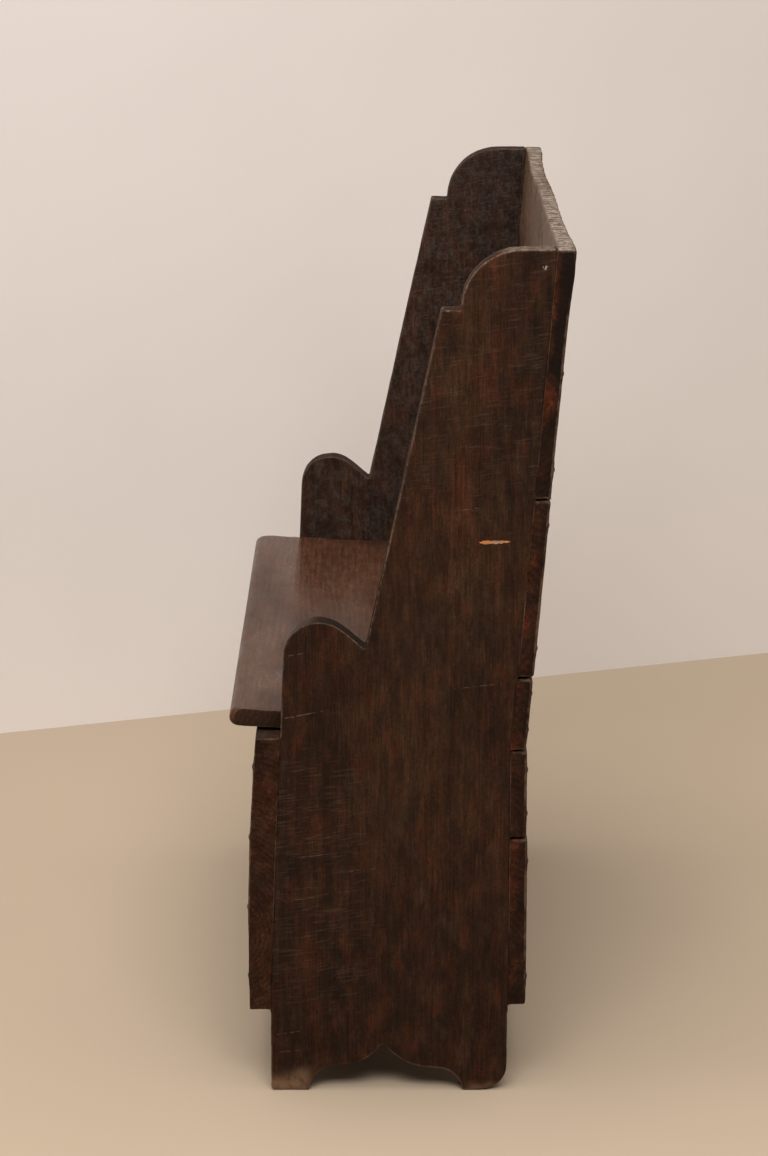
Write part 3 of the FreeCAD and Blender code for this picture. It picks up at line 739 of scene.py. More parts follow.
def build_line_group():
    """One scratch from a start to an end, thin at both ends."""
    tree, given, made = new_group(
        "single scratch",
        {"Start": (0.0, 0.0, 0.0), "End": (0.0, 0.0, 0.1), "Width": 0.0006, "Wobble": 0.5},
        ("Line",),
    )
    way = vector_step(tree, "SUBTRACT", given["End"], given["Start"])
    here = vector_step(tree, "SUBTRACT", given["Vector"], given["Start"])
    share = calc(tree, "DIVIDE", vector_step(tree, "DOT_PRODUCT", here, way, "Value"),
                 vector_step(tree, "DOT_PRODUCT", way, way, "Value"), clamp=True)
    apart = vector_step(tree, "DISTANCE", here, scaled(tree, way, share), "Value")
    middle = product(tree, share, calc(tree, "SUBTRACT", 1.0, share))
    width = product(tree, given["Width"], between(tree, middle, 0.0, 0.15, 0.25, 1.0),
                    between(tree, given["Wobble"], 0.3, 0.7, 0.4, 1.5))
    tree.links.new(between(tree, calc(tree, "DIVIDE", apart, width), 1.0, 0.4), made["Line"])


def build_rub_group():
    """Edge wear that noise breaks up."""
    tree, given, made = new_group("rubbed arris", {"Seed": 0.0, "Rubbed": 0.0, "Amount": 0.5}, ("Mask",))
    broken = cloud(tree, given["Vector"], given["Seed"], 4.0, 0.65, 95.0)
    slow = cloud(tree, given["Vector"], given["Seed"], 2.0, 0.5, 14.0)
    level = calc(tree, "ADD", product(tree, broken, 0.8), product(tree, slow, 0.9))
    level = calc(tree, "ADD", calc(tree, "SUBTRACT", level, 0.85), product(tree, given["Amount"], 1.0))
    tree.links.new(between(tree, product(tree, given["Rubbed"], level), 0.28, 0.62), made["Mask"])


def build_saw_group():
    """Rough kerf marks across X, as a height and a mask of torn fibres."""
    tree, given, made = new_group("saw marks", {"Seed": 0.0, "Pitch": 0.006}, ("Height", "Torn"))
    vector = given["Vector"]
    bent = streaks(tree, vector, (14.0, 14.0, 14.0), given["Seed"], 2.0)
    along = add(tree, "ShaderNodeSeparateXYZ", {0: vector}).outputs[0]
    turns = calc(tree, "ADD", calc(tree, "DIVIDE", along, given["Pitch"]), product(tree, bent, 4.0))
    wave = calc(tree, "SINE", product(tree, turns, 2 * math.pi))
    torn = streaks(tree, vector, (62.0, 110.0, 110.0), given["Seed"], 5.0, 0.75)
    height = calc(tree, "ADD", product(tree, wave, 0.09), torn)
    tree.links.new(height, made["Height"])
    tree.links.new(between(tree, height, 0.52, 0.42), made["Torn"])


# How the vector is turned so that a grain along X, Y or Z comes to lie along its Z.
GRAIN_TURN = {0: (0.0, math.radians(90), 0.0), 1: (math.radians(90), 0.0, 0.0), 2: (0.0, 0.0, 0.0)}
# The look of the waxed wood. Each piece changes some of its values.
BASE_LOOK = {
    "pith": (0.02, 0.11, 0.0), "ring": 0.0052, "wear": 0.42, "wear_share": 0.75, "ruddy": 0.35,
    "tan": 0.25, "light": 1.0, "mottle": 0.30, "crust": 0.0, "grime": 0.45, "flecks": 0.30,
    "scratches": 0.30, "scratch_turn": (0.0, 0.0, 0.0), "rings": 0.30, "marks": (), "raw": "raw",
    "rough": 0.40, "bump": 0.40, "specular": 0.12, "specular_tint": (1.0, 0.85, 0.72), "pitch": 0.0085,
    "crust_tone": "rubbed", "hues": 0.34, "even_ruddy": 0.0, "specks": 0.30, "ends": "brown",
}


class Finish:
    """Builds the waxed wood of one piece. The look holds what differs between the pieces."""

    def __init__(self, name, grain, seed, **changes):
        """The grain is the axis that it runs along: 0, 1 or 2."""
        self.look = {**BASE_LOOK, **changes}
        self.colours = bpy.context.scene.hallbench_colours
        self.material, self.tree = new_material(name)
        self.seed = float(seed) * 1.7
        self.spot = add(self.tree, "ShaderNodeTexCoord").outputs["Object"]
        turned = stretched(self.tree, self.spot, (1.0, 1.0, 1.0), GRAIN_TURN[grain])
        self.grain = use_group(self.tree, "plank grain", turned, Seed=self.seed, Pith=self.look["pith"],
                               Ring=self.look["ring"])
        self.patina = use_group(self.tree, "wax patina", turned, Seed=self.seed)
        self.masks = {name: mask(self.tree, name) for name in MASKS}
        self.wobble = cloud(self.tree, self.spot, self.seed, 2.0, 0.5, 170.0)
        tone, height = self.worn_tone(self.waxed_tone())
        tone, height = self.marked(tone, height)
        tone, height = self.sawn(tone, height)
        self.finish(tone, height)

    def share(self, value, key):
        """A mask times the share that the look gives it."""
        return product(self.tree, value, self.look[key])

    def waxed_tone(self):
        """The wood under its wax: clouds, red patches, rings and fibres, or bare where it is raw."""
        tree, look, colours, patina, grain = self.tree, self.look, self.colours, self.patina, self.grain
        tan = calc(tree, "MAXIMUM", self.share(patina["Grime"], "tan"),
                   product(tree, self.masks["tan"], between(tree, patina["Mottle"], 0.0, 1.0, 0.55, 0.85)))
        ends = coated(tree, getattr(colours, look["ends"]),
                      (product(tree, grain["Late"], 0.35), colours.dark),
                      (between(tree, patina["Cloud"], 0.0, 1.0, 0.40, 0.0), colours.dark))
        warm = self.share(patina["Warm"], "hues")
        ruddy = calc(tree, "MAXIMUM", self.share(patina["Ruddy"], "ruddy"), warm)
        ruddy = calc(tree, "ADD", ruddy, product(tree, self.masks["ruddy"], patina["Ruddy"]))
        ruddy = calc(tree, "ADD", ruddy, look["even_ruddy"], clamp=True)
        tone = coated(tree, mixed(tree, patina["Cloud"], colours.dark, colours.brown),
                      (tan, colours.tan),
                      (self.share(patina["Olive"], "hues"), colours.tan),
                      (self.share(patina["Cool"], "hues"), colours.grime),
                      (product(tree, self.masks["end_grain"], 0.7), ends),
                      (ruddy, colours.ruddy))
        specks = between(tree, grain["Specks"], 0.30, 0.70, 1.0 - look["specks"], 1.0 + look["specks"])
        fibre = product(tree, specks, between(tree, grain["Fibre"], 0.32, 0.68, 0.62, 1.40))
        rings = between(tree, grain["Rings"], 0.0, 1.0, 1.0 + 0.5 * look["rings"], 1.0 - 0.5 * look["rings"])
        mottle = between(tree, patina["Mottle"], 0.0, 1.0, 1.0 - look["mottle"], 1.0 + look["mottle"])
        shade = product(tree, fibre, rings, mottle, look["light"])
        tone = scaled(tree, tone, shade)
        bare = scaled(tree, getattr(colours, look["raw"]), shade)
        return mixed(tree, self.masks["raw"], tone, bare)

    def worn_tone(self, tone):
        """The tone under grime, scratches and wear, with painted highlights, painted shade and painted sheen,
        and the height of the surface.
        """
        tree, look, colours, patina, grain = self.tree, self.look, self.colours, self.patina, self.grain
        self.wear = use_group(tree, "rubbed arris", self.spot, Seed=self.seed, Rubbed=self.masks["rubbed"],
                              Amount=look["wear"])["Mask"]
        amount = calc(tree, "MAXIMUM", self.masks["scratched"], look["scratches"])
        lines = use_group(tree, "fine scratches",
                          stretched(tree, self.spot, (1.0, 1.0, 1.0), look["scratch_turn"]),
                          Seed=self.seed, Amount=amount)["Scratches"]
        worn = scaled(tree, colours.rubbed, between(tree, grain["Fibre"], 0.32, 0.68, 0.66, 1.34))
        # Painted highlight: a broken pale line where the mask marks the glinting arrises.
        gleam = product(tree, self.masks["gleam"], between(tree, self.wobble, 0.44, 0.60, 0.10, 1.0))
        scuffed = product(tree, self.masks["scuffed"], between(tree, patina["Crust"], 0.0, 1.0, 1.0, 0.55))
        tone = coated(tree, tone,
                      (self.share(patina["Grime"], "grime"), colours.grime),
                      (self.share(patina["Crust"], "crust"), getattr(colours, look["crust_tone"])),
                      (product(tree, grain["Pores"], 0.6), colours.grime),
                      # Stains: real ones round the nails; painted shade on the end boards' rims and at the
                      # seat's rear; darker ends of the seat and of the back boards.
                      (product(tree, self.masks["stain"], 0.85), colours.grime),
                      (product(tree, lines, 0.19), colours.rubbed),
                      (self.share(patina["Flecks"], "flecks"), colours.rubbed),
                      (self.share(self.wear, "wear_share"), worn),
                      (gleam, colours.painted_highlight_tone),
                      (scuffed, colours.bare))
        crust = 0.15 + 1.6 * look["crust"]
        height = total(tree, product(tree, grain["Fibre"], 0.6), (grain["Pores"], -0.4),
                       (grain["Specks"], 0.8), (patina["Mottle"], 0.5), (patina["Crust"], crust),
                       (lines, -0.6))
        return tone, height

    def marked(self, tone, height):
        """Adds the single scratches and chips."""
        for start, end, width, share, colour in self.look["marks"]:
            line = use_group(self.tree, "single scratch", self.spot, Start=start, End=end, Width=width,
                             Wobble=self.wobble)["Line"]
            tone = mixed(self.tree, product(self.tree, line, share), tone, getattr(self.colours, colour))
            height = calc(self.tree, "SUBTRACT", height, line)
        return tone, height

    def sawn(self, tone, height):
        """Adds the dry, sawn wood."""
        tree, colours, patina = self.tree, self.colours, self.patina
        saw = use_group(tree, "saw marks", self.spot, Seed=self.seed, Pitch=self.look["pitch"])
        dry = coated(tree, colours.grey,
                     (product(tree, saw["Torn"], 0.9), colours.raw),
                     (product(tree, patina["Crust"], 0.7), colours.tan),
                     (product(tree, patina["Ruddy"], 0.5), colours.tan))
        tone = mixed(tree, self.masks["sawn"], tone, dry)
        rough = calc(tree, "MAXIMUM", self.masks["sawn"], product(tree, self.masks["raw"], 0.25))
        return tone, calc(tree, "ADD", height, product(tree, saw["Height"], rough, 3.0))

    def finish(self, tone, height):
        """Ends the tree in the material's own shader."""
        tree, look, patina = self.tree, self.look, self.patina
        dry = calc(tree, "MAXIMUM", self.masks["raw"], self.masks["sawn"])
        dry = calc(tree, "MAXIMUM", dry, self.masks["scuffed"])
        rough = between(tree, patina["Cloud"], 0.0, 1.0, look["rough"] + 0.08, look["rough"] - 0.04)
        rough = total(tree, rough, (patina["Mottle"], 0.08), (self.masks["end_grain"], 0.12), (dry, 0.42),
                      (self.masks["stain"], 0.55), (self.wear, -0.14), clamp=True)
        bump = add(tree, "ShaderNodeBump", {"Height": height, "Strength": look["bump"], "Distance": 0.0007})
        shader = add(tree, "ShaderNodeBsdfPrincipled", {
            "Base Color": tone, "Roughness": rough, "Normal": bump.outputs["Normal"],
            "Specular IOR Level": look["specular"], "Specular Tint": look["specular_tint"] + (1.0,),
        })
        add(tree, "ShaderNodeOutputMaterial", {"Surface": shader.outputs["BSDF"]})


def iron_material():
    """Browned iron with rusty patches."""
    colours = bpy.context.scene.hallbench_colours
    material, tree = new_material("browned iron")
    spot = add(tree, "ShaderNodeTexCoord").outputs["Object"]
    patches = between(tree, cloud(tree, spot, 1.0, 5.0, 0.7, 180.0), 0.42, 0.66)
    pits = cloud(tree, spot, 2.0, 3.0, 0.6, 900.0)
    tone = mixed(tree, patches, colours.iron, colours.rust)
    tone = mixed(tree, between(tree, pits, 0.55, 0.7), tone, colours.grime)
    bump = add(tree, "ShaderNodeBump", {
        "Height": calc(tree, "ADD", pits, patches), "Strength": 0.5, "Distance": 0.0004,
    })
    shader = add(tree, "ShaderNodeBsdfPrincipled", {
        "Base Color": tone, "Roughness": between(tree, patches, 0.0, 1.0, 0.42, 0.85),
        "Metallic": between(tree, patches, 0.0, 1.0, 0.85, 0.1), "Normal": bump.outputs["Normal"],
    })
    add(tree, "ShaderNodeOutputMaterial", {"Surface": shader.outputs["BSDF"]})
    return material


class HALLBENCH_OT_finishes(bpy.types.Operator):
    """Builds the shader groups that the finishes share"""

    bl_idname = "hallbench.finishes"
    bl_label = "Shared finishes"

    def execute(self, context):
        for build in (build_grain_group, build_patina_group, build_scratch_group, build_line_group,
                      build_rub_group, build_saw_group):
            build()
        return {"FINISHED"}


# End boards

# Scratches on the near end board's outer face: from (y, z), to (y, z), width, share and colour.
NEAR_SCRATCHES = (
    ((0.090, 0.6660), (0.126, 0.6672), 0.0021, 0.95, "splinter"),
    ((0.104, 0.6655), (0.120, 0.6658), 0.0018, 0.8, "grey"),
    ((0.1598, 0.9818), (0.1604, 0.9785), 0.0011, 0.7, "grey"),
    ((0.1636, 0.9826), (0.1622, 0.9764), 0.0015, 1.0, "grey"),
    ((-0.136, 0.457), (-0.073, 0.470), 0.0010, 0.75, "rubbed"),
    ((-0.129, 0.532), (-0.107, 0.536), 0.0009, 0.6, "rubbed"),
    ((0.051, 0.492), (0.116, 0.500), 0.0009, 0.45, "rubbed"),
    ((0.071, 0.704), (0.098, 0.707), 0.0009, 0.55, "rubbed"),
    ((-0.122, 0.289), (-0.075, 0.295), 0.0009, 0.5, "rubbed"),
    ((-0.123, 0.238), (-0.080, 0.243), 0.0009, 0.45, "rubbed"),
    ((-0.062, 0.272), (-0.022, 0.277), 0.0008, 0.4, "rubbed"),
    ((-0.145, 0.070), (-0.112, 0.075), 0.0009, 0.6, "rubbed"),
    ((-0.142, 0.048), (-0.114, 0.051), 0.0008, 0.5, "rubbed"),
    ((-0.116, 0.090), (-0.063, 0.103), 0.0007, 0.4, "rubbed"),
)
NEAR_MARKS = [((NEAR_X, *start), (NEAR_X, *end), *rest) for start, end, *rest in NEAR_SCRATCHES]
FAR_MARKS = (
    ((-NEAR_X + 0.030, 0.171, 0.963), (-NEAR_X + 0.030, 0.166, 0.885), 0.0009, 0.7, "rubbed"),
)
SEAT_TOP_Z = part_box("seat_lid")[1].z
PANEL_TOP_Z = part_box("front_panel")[1].z
SCRATCH_SLOPE_DEG = 8.0
# Below this height no board is nailed over the end boards' edges.
NAILED_FROM_Z = 0.1
# Places on an end board's face, each as a middle and a width in y, then in z.
REAR_SOLE = (0.115, 0.030, 0.0, 0.016)
PALE_NEAR = (0.075, 0.06, 0.65, 0.13)
PALE_FAR = (-0.09, 0.06, 0.52, 0.07)
RED_LOW = (-0.08, 0.06, 0.20, 0.12)
RED_HIGH = (0.09, 0.08, 0.86, 0.16)


def patch(y, z, place):
    """A soft patch from 0 to 1 round a place."""
    middle_y, width_y, middle_z, width_z = place
    return hump(y, middle_y, width_y) * hump(z, middle_z, width_z)


def long_edges():
    """The long front and rear edges of an end board, each as its heights and its depths.

    The rear edge leans back above the seat, so what counts as far back grows with the height.
    """
    spots = np.array(rim_outline("end_board_right"))
    farthest = spots[:, 0] > 0.128 + 0.07 * np.clip(spots[:, 1] - 0.42, 0, 1)
    rear = np.array([[0.0, 0.0]] + [p[::-1] for p in spots[farthest] if p[1] > 0.03])
    rear = rear[rear[:, 0].argsort()]
    rear[0, 1] = rear[1, 1]
    front = np.array([p[::-1] for p in spots if p[0] < -0.13 and p[1] > 0.004])
    front = front[front[:, 0].argsort()]
    return front.T, rear.T


FRONT_EDGE, REAR_EDGE = long_edges()
# The box lies between the end boards' inner faces.
BOX_HALF_LENGTH = 0.4205


def below_seat(z):
    """Fades in from 0 to 1 below the seat's top."""
    return smooth_step(SEAT_TOP_Z - 0.01, SEAT_TOP_Z - 0.035, z)


def inside_box(spots):
    """How far a spot lies in the dry inside of the box, from 0 to 1."""
    return (np.abs(spots[:, 0]) < BOX_HALF_LENGTH) * below_seat(spots[:, 2])


def end_board_piece(context, side, seed, marks, **look):
    """One end board. The near one, on the right, is more handled and more scuffed than the far one."""
    shape = context.scene.hallbench_shape
    node = "end_board_" + side
    low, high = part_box(node)
    outline = Outline(rim_outline(node), shape.corner, shape.spacing)
    y, z = outline.spots.T
    jointed = (outline.normals[:, 0] > 0.9) | (outline.normals[:, 0] < -0.9) & (z < PANEL_TOP_Z)
    jointed &= z > NAILED_FROM_Z
    rounds = np.where(jointed, shape.joint_arris, shape.arris)
    rounds = rounds + (shape.foot_round - shape.arris) * patch(y, z, REAR_SOLE)
    board = Board("worn_" + node, outline, low.x, high.x, shape.spacing, rounds)
    mesh = board.mesh()
    x, y, z = board.spots.T
    near = side == "right"
    rear = smooth_step(-0.004, 0.0, y - np.interp(z, *REAR_EDGE)) * (z > NAILED_FROM_Z)
    fronted = (y < np.interp(z, *FRONT_EDGE) + 0.003) & (z < PANEL_TOP_Z) & (z > NAILED_FROM_Z)
    exposure = np.where(rear > 0.5, 0.2, np.where(fronted, 0.45, 1.0))

    def tight(spots, normals):
        return (exposure < 0.5) * smooth_step(0.7, 0.9, np.abs(normals[:, 1]))

    normals = wear_down(mesh, board, 2, seed, tight, exposure)
    inner = np.abs(x) < abs(low.x + high.x) / 2
    boxed = inner & (np.abs(normals[:, 0]) > 0.5)
    give(mesh, "raw", 0.85 * boxed * below_seat(z))
    low_front = smooth_step(0.01, -0.07, y) * smooth_step(0.06, 0.16, z) * smooth_step(0.46, 0.36, z)
    # Real scratches low at the front; the extra amount above 0.62 m also paints pale sheen specks on the
    # upper faces.
    give(mesh, "scratched", 0.32 + 0.60 * low_front + 0.40 * smooth_step(0.62, 0.78, z))
    if near:
        pale = 0.75 * hump(y, 0.02 + 0.10 * (z - 0.4), 0.055) * smooth_step(0.14, 0.36, z)
        pale = np.maximum(pale, 1.25 * patch(y, z, PALE_NEAR))
    else:
        pale = 0.35 * patch(y, z, PALE_FAR)
    give(mesh, "tan", pale)
    give(mesh, "ruddy", 0.70 * (patch(y, z, RED_LOW) + 1.5 * patch(y, z, RED_HIGH)))
    rim = smooth_step(0.6, 0.3, np.abs(normals[:, 0]))
    level = smooth_step(0.90, 0.98, normals[:, 2]) * smooth_step(0.98, 0.99, z)
    pale_rim = near * np.clip(level + smooth_step(-0.085, -0.105, y) * smooth_step(0.50, 0.54, z), 0, 1)
    # Painted shade: the rims, the boards' narrow edge faces, are darkened through the stain mask, most on the
    # near board below 0.6 m, by half on the far board, and not on the near board's pale top rim.
    rim_shade = 0.85 - 0.30 * smooth_step(0.60, 0.68, z) if near else 0.5
    give(mesh, "stain", rim_shade * rim * (1 - pale_rim))
    give(mesh, "sawn", 0.45 * rim * level * pale_rim)
    # Painted highlight along the arrises, where the normals lie half way between face and rim, above 0.12 m:
    # strong on the near board, strongest at its top, faint on the far one.
    gleam = hump(np.abs(normals[:, 0]), 0.68, 0.24) * np.clip(1.25 * exposure - 0.25, 0, 1)
    gleam *= (board.edge < 1e-6) * smooth_step(0.12, 0.20, z)
    give(mesh, "gleam", gleam * (0.50 + 0.60 * (z > 0.93) if near else 0.05))
    uneven = 0.012 * noise_at(board.spots, [60.0] * 3, seed)
    foot = smooth_step(0.034, 0.004, z + uneven) * smooth_step(-0.095, -0.115, y)
    heel = smooth_step(0.012, 0.002, z + 0.4 * uneven) * smooth_step(0.075, 0.095, y)
    give(mesh, "scuffed", np.clip(foot + 0.7 * heel, 0, 1) * (1.0 if near else 0.35))
    finish = Finish("end board wood " + side, 2, seed, marks=marks,
                    scratch_turn=(math.radians(-SCRATCH_SLOPE_DEG), 0.0, math.radians(-90)), **look)
    place(mesh, node, "carcase", "end_wood", finish.material)


class HALLBENCH_OT_end_boards(bpy.types.Operator):
    """Makes the two shaped end boards"""

    bl_idname = "hallbench.end_boards"
    bl_label = "End boards"

    def execute(self, context):
        end_board_piece(context, "right", 1, NEAR_MARKS, pith=(NEAR_X - 0.055, 0.03, 0.0), mottle=0.20,
                        ring=0.0034, rings=0.14, hues=0.50, tan=0.10, light=0.79)
        # The far board's crust is pale grey specks of crusted polish, partly painted sheen.
        end_board_piece(context, "left", 5, FAR_MARKS, pith=(-NEAR_X + 0.095, 0.01, 0.0), mottle=0.34,
                        rings=0.14, hues=0.22, tan=0.05, light=1.14, crust=0.32, crust_tone="dust_and_sheen",
                        ruddy=0.15, grime=0.5, bump=0.7, specular=0.16)
        return {"FINISHED"}


# Long boards

# From here outward a long board lies on the edge of an end board.
END_LAP_X = 0.415
# A board's long edges are rubbed rounder than the arrises of its ends, by this factor.
LONG_EDGE_SHARE = 1.35


def long_board(context, node, seed, arris, joint_faces=0, exposure=1.0, strokes=1.0, spacing=None,
               nails=None):
    """A board along X in place of a CAD node, as its mesh, its spots and its normals.

    Joint faces is 1 or -1 where the board's face towards +Y or -Y lies tight in a joint, or 0.
    """
    shape = context.scene.hallbench_shape
    spacing = shape.spacing if spacing is None else spacing
    low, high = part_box(node)
    middle = (low.y + high.y) / 2

    def corner(spot):
        return LONG_EDGE_SHARE * (shape.joint_arris if (spot[0] - middle) * joint_faces > 0 else arris)

    outline = Outline(hull_outline(node), corner, spacing)
    tight = outline.normals[:, 0] * joint_faces > 0.5
    rounds = np.where(tight, shape.joint_arris, arris)
    board = Board("worn_" + node, outline, low.x, high.x, spacing, rounds)
    mesh = board.mesh()

    def on_ends(spots, normals):
        """Where the board lies on the end boards."""
        return smooth_step(0.3, 0.6, normals[:, 1] * joint_faces) * (np.abs(spots[:, 0]) > END_LAP_X)

    normals = wear_down(mesh, board, 0, seed, on_ends, exposure, strokes, nails)
    return mesh, board.spots, normals


class HALLBENCH_OT_front_panel(bpy.types.Operator):
    """Makes the bowed front panel"""

    bl_idname = "hallbench.front_panel"
    bl_label = "Front panel"

    def execute(self, context):
        arris = context.scene.hallbench_shape.arris
        mesh, spots, normals = long_board(context, "front_panel", 11, arris, 1, nails="front_panel_nails")
        give(mesh, "raw", (normals[:, 1] > 0.5) * inside_box(spots))
        give(mesh, "sawn", 0.06 * smooth_step(0.6, 0.9, normals[:, 2]))
        finish = Finish("front panel wood", 0, 11, pith=(0.20, -0.21, 0.0), ring=0.0060, rings=0.2,
                        scratches=0.4, specular=0.05, light=1.12)
        place(mesh, "front_panel", "carcase", "board_wood", finish.material)
        return {"FINISHED"}


def age_top_board(mesh, spots, normals, shape):
    """Gives the top board its sawn, waved upper edge and its rubbed inner face, with a painted highlight near
    the top.
    """
    low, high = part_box("back_board_1")
    x, z = spots[:, 0], spots[:, 2]
    depth = spots[:, 1] - np.interp(z, *REAR_EDGE)
    edge = smooth_step(0.55, 0.85, normals[:, 2])
    give(mesh, "sawn", edge)
    face = smooth_step(-0.4, -0.7, normals[:, 1]) * smooth_step(0.82, 0.95, z)
    give(mesh, "rubbed", np.maximum(stored(mesh, "rubbed"), 1.8 * face))
    # Painted highlight: a faint sheen on the inner face near the top.
    give(mesh, "gleam", 0.32 * face)
    moved = read_vectors(mesh.vertices, "co")
    bow = shape.top_bow * hump(x, -0.18, 0.15) + 0.45 * shape.top_bow * hump(x, 0.17, 0.14)
    moved[:, 1] -= bow * smooth_step(low.z, high.z, z) * smooth_step(0.42, 0.36, np.abs(x))
    near_end = smooth_step(0.30, 0.42, np.abs(x)) * smooth_step(0.88, 1.0, z)
    moved[:, 1] += shape.end_spread * smooth_step(0.004, 0.020, depth) * near_end
    torn = 0.5 + 0.5 * noise_at(spots, (75.0, 45.0, 45.0), 61)
    torn += 0.4 * noise_at(spots, (150.0, 60.0, 60.0), 62)
    moved[:, 2] -= shape.saw_depth * edge * np.clip(torn, 0, 1.6)
    set_spots(mesh, moved)


TOP_BOARD_MARKS = (((NEAR_X, 0.177, 0.801), (NEAR_X, 0.172, 0.749), 0.0012, 0.9, "grime"),)
TOP_BOARD_SPACING = 0.0036


def back_board_piece(context, number):
    """One of the back boards, counted from the top."""
    shape = context.scene.hallbench_shape
    node = "back_board_%d" % number
    low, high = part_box(node)
    seed = 20 + number
    top = number == 1
    mesh, spots, normals = long_board(context, node, seed, shape.rear_arris, -1, nails="back_board_nails",
                                      spacing=TOP_BOARD_SPACING if top else None)
    y, z = spots[:, 1], spots[:, 2]
    boxed = (normals[:, 1] < -0.5) * inside_box(spots)
    give(mesh, "raw", np.clip(0.85 * smooth_step(0.3, 0.8, normals[:, 1]) + boxed, 0, 1))
    depth = y - np.interp(z, *REAR_EDGE) + 0.004 * noise_at(spots, [45.0] * 3, seed)
    at_end = smooth_step(0.5, 0.8, np.abs(normals[:, 0]))
    dark = 0.45 * smooth_step(0.007, 0.011, depth)
    if top:
        dark = 0.95 * smooth_step(0.86, 0.89, z + 2.5 * depth) * smooth_step(0.0025, 0.0065, depth)
        dark = np.maximum(dark, 0.65 * smooth_step(0.80, 0.775, z - 2.5 * depth))
    dark *= at_end
    give(mesh, "ruddy", 1.4 * smooth_step(0.013, 0.006, depth) * at_end)
    if top:
        dark = np.maximum(dark, 0.7 * (normals[:, 1] > 0.3) * (normals[:, 2] > 0.3))
        age_top_board(mesh, spots, normals, shape)
    give(mesh, "stain", np.maximum(dark, stored(mesh, "stain")))
    finish = Finish("back board wood %d" % number, 0, seed, marks=TOP_BOARD_MARKS if top else (),
                    pith=((low.z + high.z) / 2 - 0.05, low.y - 0.035, 0.0), ring=0.0075, rings=0.22,
                    raw="back", specular=0.05, pitch=0.0150)
    place(mesh, node, "carcase", "board_wood", finish.material)


class HALLBENCH_OT_back_boards(bpy.types.Operator):
    """Makes the five back boards"""

    bl_idname = "hallbench.back_boards"
    bl_label = "Back boards"

    def execute(self, context):
        for number in range(1, 6):
            back_board_piece(context, number)
        return {"FINISHED"}


# The hollows worn by sitting lie this far to either side of the bench's middle.
SITTING_X = 0.2


def seat_lid_piece(context):
    """The lid, with hollows worn by sitting and rounded front corners."""
    shape = context.scene.hallbench_shape
    mesh, spots, normals = long_board(context, "seat_lid", 31, shape.arris, strokes=0.5)
    x, y, z = spots.T
    dish = hump(x, -SITTING_X, 0.13) + hump(x, SITTING_X, 0.13)
    dish *= hump(y, -0.04, 0.08) * smooth_step(0.5, 0.9, normals[:, 2])
    moved = read_vectors(mesh.vertices, "co")
    moved[:, 2] -= shape.seat_dish * dish
    from_end = np.clip(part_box("seat_lid")[1].x - np.abs(x), 0, shape.seat_corner)
    cut = shape.seat_corner - np.sqrt(shape.seat_corner ** 2 - (shape.seat_corner - from_end) ** 2)
    moved[:, 1] += cut * smooth_step(-0.150, -0.190, y)
    set_spots(mesh, moved)
    give(mesh, "raw", smooth_step(-0.5, -0.8, normals[:, 2]) * smooth_step(-0.172, -0.160, y))
    give(mesh, "tan", 0.4 * dish)
    # Painted shade towards the seat's rear, which the back boards shade, through the stain mask; the seat is
    # also darker at its ends by the end boards and on its end faces.
    shaded_rear_and_darker_ends = np.maximum(0.6 * smooth_step(0.415, 0.446, np.abs(x)), 0.35 * smooth_step(-0.07, 0.04, y))
    give(mesh, "stain", np.maximum(shaded_rear_and_darker_ends, 0.8 * (np.abs(normals[:, 0]) > 0.5)))
    finish = Finish("seat wood", 0, 31, pith=(0.37, 0.02, 0.0), ring=0.0065, rings=0.2, rough=0.25,
                    specular=0.10, ruddy=0.09, even_ruddy=0.09, hues=0.12, mottle=0.12, grime=0.10,
                    bump=0.08, scratches=0.35, wear=0.35, light=2.16, specks=0.04, ends="tan",
                    flecks=0.12, specular_tint=(1.0, 0.74, 0.54))
    place(mesh, "seat_lid", "lid", "seat_wood", finish.material)


class HALLBENCH_OT_seat(bpy.types.Operator):
    """Makes the seat lid and the rail behind it"""

    bl_idname = "hallbench.seat"
    bl_label = "Seat lid and rail"

    def execute(self, context):
        seat_lid_piece(context)
        arris = context.scene.hallbench_shape.arris
        mesh, spots, normals = long_board(context, "seat_rear_rail", 32, arris, strokes=0.5)
        give(mesh, "raw", smooth_step(-0.5, -0.8, normals[:, 2]))
        finish = Finish("seat rail wood", 0, 32, rough=0.33, specular=0.5, bump=0.2)
        place(mesh, "seat_rear_rail", "carcase", "seat_wood", finish.material)
        return {"FINISHED"}


BOX_NODES = (
    "seat_bearer_right", "seat_bearer_left", "floor_cleat_right", "floor_cleat_left",
    "lid_batten_right", "lid_batten_left", "box_floor_front", "box_floor_rear",
)


class HALLBENCH_OT_box(bpy.types.Operator):
    """Makes the unfinished wood inside the box: bearers, cleats, lid battens and floor boards"""

    bl_idname = "hallbench.box"
    bl_label = "Inside of the box"

    def execute(self, context):
        arris = context.scene.hallbench_shape.arris
        for number, node in enumerate(BOX_NODES):
            seed = 41 + number
            mesh, spots, normals = long_board(context, node, seed, arris, exposure=0.6, spacing=0.006)
            give(mesh, "raw", 1.0)
            grain = 0 if node.startswith("box_floor") else 1
            finish = Finish(node + " wood", grain, seed, rings=0.5, rough=0.5, specular=0.2, ring=0.004)
            place(mesh, node, "lid" if "batten" in node else "carcase", "inner_wood", finish.material)
        return {"FINISHED"}


class HALLBENCH_OT_ironwork(bpy.types.Operator):
    """Gives the hinges, pins, screws and nails their browned iron"""

    bl_idname = "hallbench.ironwork"
    bl_label = "Ironwork"

    def execute(self, context):
        material = iron_material()
        for name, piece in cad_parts.items():
            if "hinge" in name or name.endswith("_nails"):
                piece.data.materials.clear()
                piece.data.materials.append(material)
        return {"FINISHED"}


# Stage

